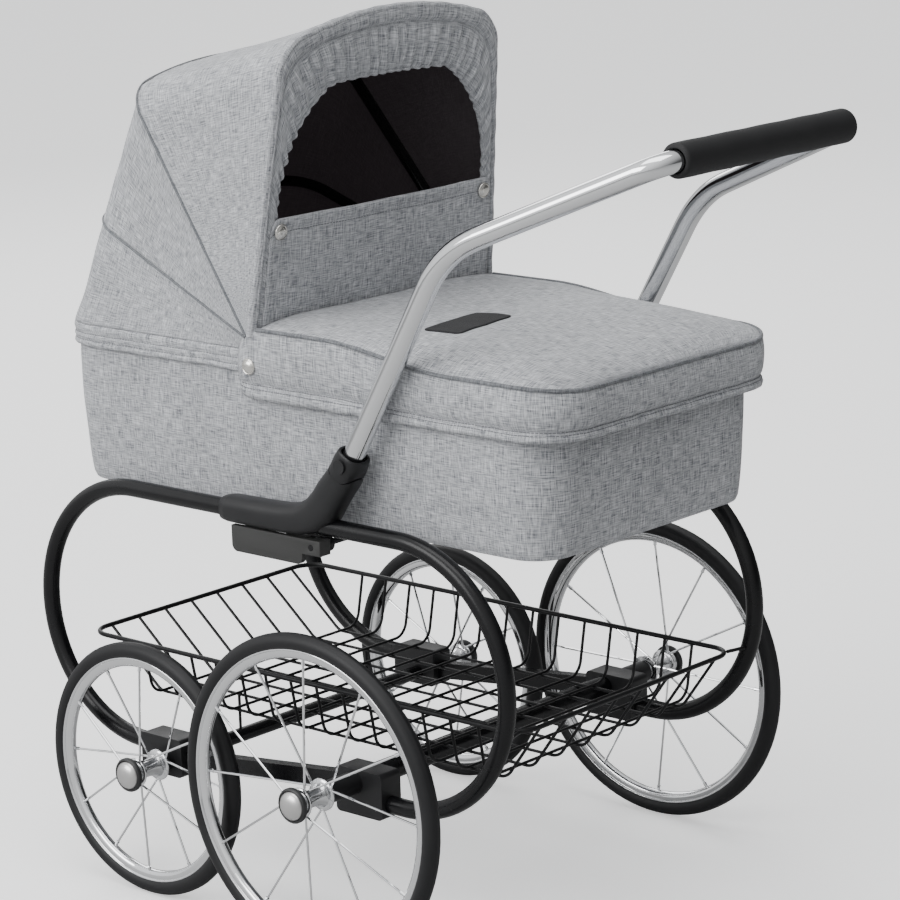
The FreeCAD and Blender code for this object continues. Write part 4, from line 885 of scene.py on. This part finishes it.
label_rows = []
for i in range(17):
    line = []
    for j in range(25):
        p, q = round_off(LABEL_HALF_X * (i / 16 * 2 - 1), LABEL_HALF_Y * (j / 24 * 2 - 1))
        x = label_centre.x + (p * math.cos(LABEL_TURN) - q * math.sin(LABEL_TURN)) * MM
        y = label_centre.y + (p * math.sin(LABEL_TURN) + q * math.cos(LABEL_TURN)) * MM
        side = abs(y) / (half_y - inner_out)
        point = Vector((x, y, top_height(x, y)))
        point.z += (1 - side ** 4) * quilting(point) + 1.0 * MM
        line.append(point)
    label_rows.append(line)
label, cut = sewn("apron_label", label_rows, [label_cloth], "cot", 1.2, way=upwards)

# ------------------------------------------------------------ snaps
# Domed snap caps, pressed and polished, stand on the cloth.
snap_metal = hard_finish("snap_cap", (0.7, 0.68, 0.63), (0.82, 0.8, 0.76), 0.22, 0.1, 900,
                         0.00002, Metallic=1.0)
DOME = [(6.5, 0.2), (6.7, 0.8), (6.4, 1.5), (5.6, 1.9), (5.2, 1.7), (4.9, 1.9), (4.0, 2.7),
        (2.4, 3.2), (1.0, 3.4), (0, 3.4)]


def snap_cap(name, place, out, body, node=None):
    """One cap, standing on a spot of the cloth."""
    stand = Matrix.Translation(place) @ out.to_track_quat("Y", "Z").to_matrix().to_4x4()
    new_piece(name, turned(DOME, 28), [snap_metal], body, node, place=stand)


snap_x = (snap_low.x + snap_high.x) / 2
snap_z = (snap_low.z + snap_high.z) / 2
for name, side, node in (("left", -1, "cot_snaps"), ("right", 1, None)):
    snap_cap("cot_snap_" + name, Vector((snap_x, side * (half_y + 0.4 * MM), snap_z)),
             Vector((0, side, 0)), "cot", node)

# -------------------------------------------------------------- hood skirt
# The hood's cloth ends in a strip round the head of the cot. Its hem is turned
# up and stitched twice, and its ends pass under the apron's corners.
skirt_low, skirt_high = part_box("hood_skirt")
skirt_out = skirt_high.y / MM - cot_high.y / MM


def rim_line(outside, height, stop_x, count):
    """Round the head of the cot, from the right side to the left."""
    loop = plan_loop(cot_half_x + outside, cot_half_y + outside, CORNER + outside)
    head = [spot for spot, _ in loop if spot.x < stop_x]
    start = next(k for k in range(len(head)) if head[k].y > 0 and head[k].x > head[k - 1].x
                 or k == 0)
    reach = cot_high.y + outside * MM
    line = [Vector((stop_x, reach, 0))] + head[start:] + head[:start]
    line.append(Vector((stop_x, -reach, 0)))
    for point in line:
        point.z = height
    return resample(line, count)


skirt_rows = []
SKIRT_COLUMNS = 200
skirt_end = skirt_high.x + 4 * MM
for level, outside in ((0.0, -0.9), (0.02, 0.1), (0.1, 1.0), (0.2, 0.8), (0.27, -0.2),
                       (0.33, 0.0), (0.42, 0.8), (0.49, 0.7), (0.56, -0.3), (0.66, 0.3),
                       (0.8, 0.9), (0.93, 0.4), (1.0, -0.7)):
    level_z = skirt_low.z + (skirt_high.z + 0.3 * MM - skirt_low.z) * level
    line = rim_line(skirt_out + outside, level_z, skirt_end, SKIRT_COLUMNS)
    for point in line:
        crease = soft_push(Vector((point.x, point.y, 0)), 30, 0.8)
        point.z += crease * (1 - level)
    skirt_rows.append(line)
skirt, cut = sewn("hood_skirt_strip", skirt_rows, [grey_cloth, black_cloth], "cot", 1.4,
                  "hood_skirt")
for name, level in (("upper", 4), ("lower", 8)):
    stitches("skirt_stitch_" + name, skirt_rows[level], "cot")

# -------------------------------------------------------------------- hood
# Three panels of the grey cloth, black inside, are sewn over three bows. Their
# seams run over the bows and meet at the pivots. The panels are not made to fold.
pivot = Vector(joints["hood_fold"]["pos_m"])
pivot.y = 0
_, front_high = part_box("hood_panel_front")
HOOD_RADIUS = (front_high.z - pivot.z) / MM + 0.02
HOOD_CORNER, CORNER_TURN = 36, 75
SIDE_HALF, BASE_HALF, SIDE_START, SIDE_FOOT = 128, front_high.y / MM, 12, 2
CORNER_Y = SIDE_HALF - HOOD_CORNER
CROWN = HOOD_CORNER + CORNER_Y / math.cos(math.radians(CORNER_TURN))
SINE = math.sin(math.radians(CORNER_TURN))
FRONT_BOW, MIDDLE_BOW, BACK_BOW, BACK_DROP = 82.5, 127.0, 158.0, 27.0
SIDE_TOP = HOOD_RADIUS - HOOD_CORNER * SINE - CROWN * (1 - SINE)
SIDE_POINTS, CORNER_POINTS, CROWN_POINTS = 18, 10, 18


def bow_plane(angle):
    """Directions of a bow's plane: up along the bow, and out of its front."""
    t = math.radians(angle)
    return Vector((math.cos(t), 0, math.sin(t))), Vector((math.sin(t), 0, -math.cos(t)))


def mirrored(half):
    """A half profile of (across, up) from the foot up, and its other half."""
    return half + [(-across, up) for across, up in half[-2::-1]]


def bow_profile(inset=0.0, drop=0.0, foot=SIDE_FOOT):
    """Points of (across, up) in a bow's plane, from the right foot to the left."""
    side_z = SIDE_TOP - drop
    spread = BASE_HALF - SIDE_HALF
    half = []
    for k in range(SIDE_POINTS):
        up = foot + (side_z - foot) * k / SIDE_POINTS
        half.append((SIDE_HALF + spread * (side_z - up) / (side_z - SIDE_START) - inset, up))
    for k in range(CORNER_POINTS):
        t = math.radians(CORNER_TURN * k / CORNER_POINTS)
        half.append((CORNER_Y + (HOOD_CORNER - inset) * math.cos(t),
                     side_z + (HOOD_CORNER - inset) * math.sin(t)))
    centre = side_z + HOOD_CORNER * SINE - CROWN * SINE
    for k in range(CROWN_POINTS + 1):
        t = math.radians(CORNER_TURN + (90 - CORNER_TURN) * k / CROWN_POINTS)
        half.append(((CROWN - inset) * math.cos(t), centre + (CROWN - inset) * math.sin(t)))
    return mirrored(half)


def in_plane(angle, profile, ahead):
    """A profile of (across, up) stood in a bow's plane, or a little ahead of it."""
    up_way, front_way = bow_plane(angle)
    return [pivot + up_way * up * MM + Vector((0, across, 0)) * MM + front_way * ahead * MM
            for across, up in profile]


def on_bow(angle, inset=0.0, drop=0.0, ahead=0.0, foot=SIDE_FOOT):
    """A line that follows a bow, from its right foot to its left."""
    return in_plane(angle, bow_profile(inset, drop, foot), ahead)


def rim_ahead(height):
    """The cot's rim in step with a bow's points: side, corner and head."""
    half = []
    corner = (CORNER + skirt_out) * MM
    head_x = cot_low.x - skirt_out * MM
    wide = cot_high.y + skirt_out * MM
    start_x = pivot.x - SIDE_FOOT * MM
    for k in range(SIDE_POINTS):
        half.append((wide, start_x + (head_x + corner - start_x) * k / SIDE_POINTS))
    for k in range(CORNER_POINTS):
        t = math.radians(90 * k / CORNER_POINTS)
        half.append((wide - corner + corner * math.cos(t), head_x + corner - corner * math.sin(t)))
    for k in range(CROWN_POINTS + 1):
        half.append(((wide - corner) * (1 - k / CROWN_POINTS), head_x))
    return [Vector((x, y, height)) for y, x in mirrored(half)]


INNER = Vector((pivot.x - 0.05, 0, pivot.z + 0.07))


def hood_sheet(start, stop, steps, slack, seed):
    """Cloth drawn from one line to the next, a little slack and puckered."""
    count = len(start)
    reach = [0.0]
    for a, b in zip(start, start[1:]):
        reach.append(reach[-1] + (b - a).length)
    rows = []
    for i in range(steps + 1):
        share = i / steps
        line = []
        for j in range(count):
            point = start[j].lerp(stop[j], share)
            span = (stop[j] - start[j]).length
            neighbour = start[min(j + 1, count - 1)] - start[max(j - 1, 0)]
            out = neighbour.cross(stop[j] - start[j])
            out = out.normalized() if out.length > 1e-9 else Vector((0, 0, 1))
            if out.dot(point - INNER) < 0:
                out = -out
            middle = math.sin(math.pi * share)
            size = min(span / 0.12, 1)
            sag = -slack * MM * middle * size
            seam = math.exp(-share * span / 0.011) + math.exp(-(1 - share) * span / 0.011)
            free = 1 - math.exp(-min(share, 1 - share) * span / 0.003)
            along = Vector((reach[j], seed * 0.7, share * 0.02))
            pucker = seam * free * soft_push(along, 11, 2.2) * size
            fold = middle * size * (soft_push(point, 70, 2.6) + soft_push(point, 27, 0.7))
            point += out * (sag + pucker + fold)
            line.append(point)
        rows.append(line)
    return rows


def from_inside(face):
    """From the middle of the hood to a face."""
    return face.calc_center_median() - INNER


def bend_between(piece, fixed, moving, start, stop):
    """Bake a panel's placement into its mesh and work out each vertex's angle round the hood's
    pivot; the angles are not used.
    """
    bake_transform(piece)
    for vertex in piece.data.vertices:
        lean = vertex.co - pivot
        angle = math.degrees(math.atan2(lean.z, lean.x))
        angle += 360 if angle < -90 else 0


def finer(line):
    """A line with a point added in the middle of each step."""
    fine = []
    for a, b in zip(line, line[1:]):
        fine += [a, a.lerp(b, 0.5)]
    return fine + [line[-1]]


front_edge = finer(on_bow(FRONT_BOW))
middle_edge = finer(on_bow(MIDDLE_BOW))
back_edge = finer(on_bow(BACK_BOW, drop=BACK_DROP))
rim_edge = finer(rim_ahead(skirt_high.z + 0.4 * MM))
for node, start, stop, steps, slack, fixed, moving, angles, over in (
        ("hood_panel_front", front_edge, middle_edge, 44, 1.5, "hood_middle", "hood_front",
         (MIDDLE_BOW, FRONT_BOW), ["hood_bow_front", "hood_bow_middle"]),
        ("hood_panel_middle", middle_edge, back_edge, 30, 1.2, "hood_back", "hood_middle",
         (BACK_BOW, MIDDLE_BOW), ["hood_bow_middle", "hood_bow_back"]),
        ("hood_panel_back", back_edge, rim_edge, 36, 1.0, "cot", "hood_back",
         (180.0, BACK_BOW), ["hood_bow_back", skirt])):
    rows = hood_sheet(start, stop, steps, slack, len(node))
    panel, cut = sewn(node + "_cloth", rows, [grey_cloth, black_cloth], None, 1.0,
                      node, way=from_inside)
    bend_between(panel, fixed, moving, *angles)

REAR_BOWS = (("middle", MIDDLE_BOW, 0, "hood_middle"), ("back", BACK_BOW, BACK_DROP, "hood_back"))
for name, angle, drop, body in REAR_BOWS:
    line = resample(on_bow(angle, inset=-0.2, drop=drop), 150)
    new_piece("hood_welt_" + name, cord_along(line, 1.1), [welt_cloth], body)

binding_line = resample(on_bow(FRONT_BOW, inset=1.6, ahead=2.0), 190)
sizes = [3.3 + 0.25 * math.sin(k * 0.9) for k in range(len(binding_line))]
new_piece("hood_binding", cord_along(binding_line, sizes, sides=10), [grey_cloth], "hood_front")

rib_cloth = cloth_finish("black_channel", (0.002, 0.002, 0.002), (0.006, 0.005, 0.006), 900.0,
                         0.02)
for name, angle, drop, body in REAR_BOWS:
    line = resample(on_bow(angle, inset=5.2, drop=drop, foot=66), 120)
    new_piece("hood_channel_" + name, cord_along(line, 4.6), [rib_cloth], body)

coat(["hood_bow_front", "hood_bow_middle", "hood_bow_back", "hood_brackets"], black_paint)
coat(["hood_pivot_pins"], bright_steel)

# ----------------------------------------------------------------- valance
# A strip of the same cloth hangs inside the front arch. Its free edge is drawn
# up on elastic round the window, so it ruffles in pleats towards the arch.
VALANCE_AHEAD, VALANCE_FOOT, VALANCE_INSET = 3.55, 10, 2.0
WINDOW_BEND = 105
front_way = bow_plane(FRONT_BOW)[1]


def side_width(up):
    """Half the hood's width at a height up its side."""
    return SIDE_HALF + (BASE_HALF - SIDE_HALF) * (SIDE_TOP - up) / (SIDE_TOP - SIDE_START)


def window_profile():
    """The window's edge as (across, up): straight sides, then an arch of one radius."""
    side_y = side_width(WINDOW_BEND) - VALANCE_INSET - 12
    crown_y, crown_up = SIDE_HALF - VALANCE_INSET - 60, HOOD_RADIUS - VALANCE_INSET - 52
    half = [(side_y + 2, VALANCE_FOOT - 6), (side_y, WINDOW_BEND)]
    span = Vector((crown_y - side_y, crown_up - WINDOW_BEND))
    middle = Vector((side_y, WINDOW_BEND)) + span / 2
    reach = math.sqrt(max(WINDOW_BEND ** 2 - span.length_squared / 4, 0))
    across = Vector((span.y, -span.x)).normalized()
    centre = middle + across * (-reach if across.x > 0 else reach)
    first = math.atan2(WINDOW_BEND - centre.y, side_y - centre.x)
    last = math.atan2(crown_up - centre.y, crown_y - centre.x)
    for k in range(1, 15):
        t = first + (last - first) * k / 14
        half.append((centre.x + WINDOW_BEND * math.cos(t), centre.y + WINDOW_BEND * math.sin(t)))
    return mirrored(half + [(crown_y * 0.5, crown_up + 1.5), (0, crown_up + 2)])


def in_front(profile, ahead):
    return in_plane(FRONT_BOW, profile, ahead)


VALANCE_COLUMNS = 640
arch = bow_profile(VALANCE_INSET - 1.0, foot=VALANCE_FOOT - 6)
outer_line = resample(in_front(arch, VALANCE_AHEAD), VALANCE_COLUMNS)
inner_line = resample(in_front(window_profile(), VALANCE_AHEAD), VALANCE_COLUMNS)
random.seed(7)
phase, pleats = 0.0, []
for k in range(VALANCE_COLUMNS):
    phase += 0.5 * (0.8 + 0.4 * random.random() + 0.8 * noise.noise(Vector((k * 0.04, 3, 0))))
    pleats.append(phase)
valance_rows = []
VALANCE_STEPS, BAND = 36, 0.24
for i in range(VALANCE_STEPS + 1):
    share = i / VALANCE_STEPS
    line = []
    for j in range(VALANCE_COLUMNS):
        point = outer_line[j].lerp(inner_line[j], share)
        height = max(0, (point.z - pivot.z) / 0.2)
        crown = min(1, 0.2 + 1.1 * max(height - 0.15, 0))
        loose = max(share - BAND, 0) / (1 - BAND)
        deep = max(0.1, 0.5 + 0.9 * noise.noise(Vector((j * 0.06, loose * 1.5, 1.0)))) * crown
        drift = 1.6 * noise.noise(Vector((j * 0.013, loose * 2.2, 8.0)))
        gather = math.sin(pleats[j] + drift) * 3.6 * deep * (0.35 + 0.65 * loose ** 0.8)
        gather *= min(loose * 7, 1) * (1 - 0.35 * max(loose - 0.92, 0) / 0.08)
        belly = 2.0 * math.sin(math.pi * loose) ** 1.2
        band = 1.9 * math.sin(math.pi * min(share / BAND, 1)) ** 0.7
        seam = ridge(share, BAND, 0.025, -1.3)
        roll = -1.2 * max(loose - 0.9, 0) / 0.1
        point += front_way * (gather + belly + band + seam + roll + 0.6) * MM
        line.append(point)
    valance_rows.append(line)
valance, cut = sewn("valance_ruffle", valance_rows, [grey_cloth, black_cloth], "hood_front", 0.8,
                    "hood_valance", way=front_way)
sizes = [1.35 + 0.25 * math.sin(phase) for phase in pleats]
new_piece("valance_elastic", cord_along(valance_rows[-1], sizes), [grey_cloth], "hood_front")

# -------------------------------------------------------------- storm flap
# A hemmed flap snaps across the foot of the window. Its lower edge is tucked
# in front of the hood, above the apron.
FLAP_TOP, FLAP_BOTTOM, FLAP_HALF, FLAP_AHEAD = 93.0, 8.0, 129.0, 5.85
FLAP_ROWS, FLAP_COLUMNS = 30, 80
SNAP_IN = 9.5
flap_rows = []
for i in range(FLAP_ROWS + 1):
    share = i / FLAP_ROWS
    up = FLAP_TOP + 1.5 - (FLAP_TOP + 1.5 - FLAP_BOTTOM) * share
    line = []
    for j in range(FLAP_COLUMNS + 1):
        v = j / FLAP_COLUMNS * 2 - 1
        corner = max(abs(v) - 0.93, 0) / 0.07
        dip = -1.2 * (1 - v * v) * (1 - share)
        dip -= 8 * (1 - math.sqrt(max(1 - corner * corner, 0))) * (1 - share) ** 6
        hem = ridge(share, 0.04, 0.035, 0.9) + ridge(share, 0.12, 0.02, -0.8)
        hem += ridge(abs(v), 0.985, 0.012, 0.7)
        point = in_front([((FLAP_HALF + 4 * share) * v, up + dip)], FLAP_AHEAD)[0]
        fold = (1 - v ** 6) * (soft_push(point, 46, 1.5) + soft_push(point, 17, 0.5))
        belly = 1.3 * (1 - v * v) * math.sin(math.pi * share)
        point += front_way * ((hem + belly + 0.9) * MM + fold)
        line.append(point)
    flap_rows.append(line)
flap, cut = sewn("flap_cloth", flap_rows, [grey_cloth, black_cloth], "hood_front", 1.2,
                 "storm_flap", way=front_way)
stitches("flap_stitches", [point + front_way * 0.1 * MM for point in flap_rows[4]], "hood_front")

for name, side, node in (("left", -1, "flap_snaps"), ("right", 1, None)):
    spot = (side * (FLAP_HALF - SNAP_IN), FLAP_TOP - SNAP_IN)
    snap_cap("flap_snap_" + name, in_front([spot], FLAP_AHEAD + 1.6)[0], front_way,
             "hood_front", node)
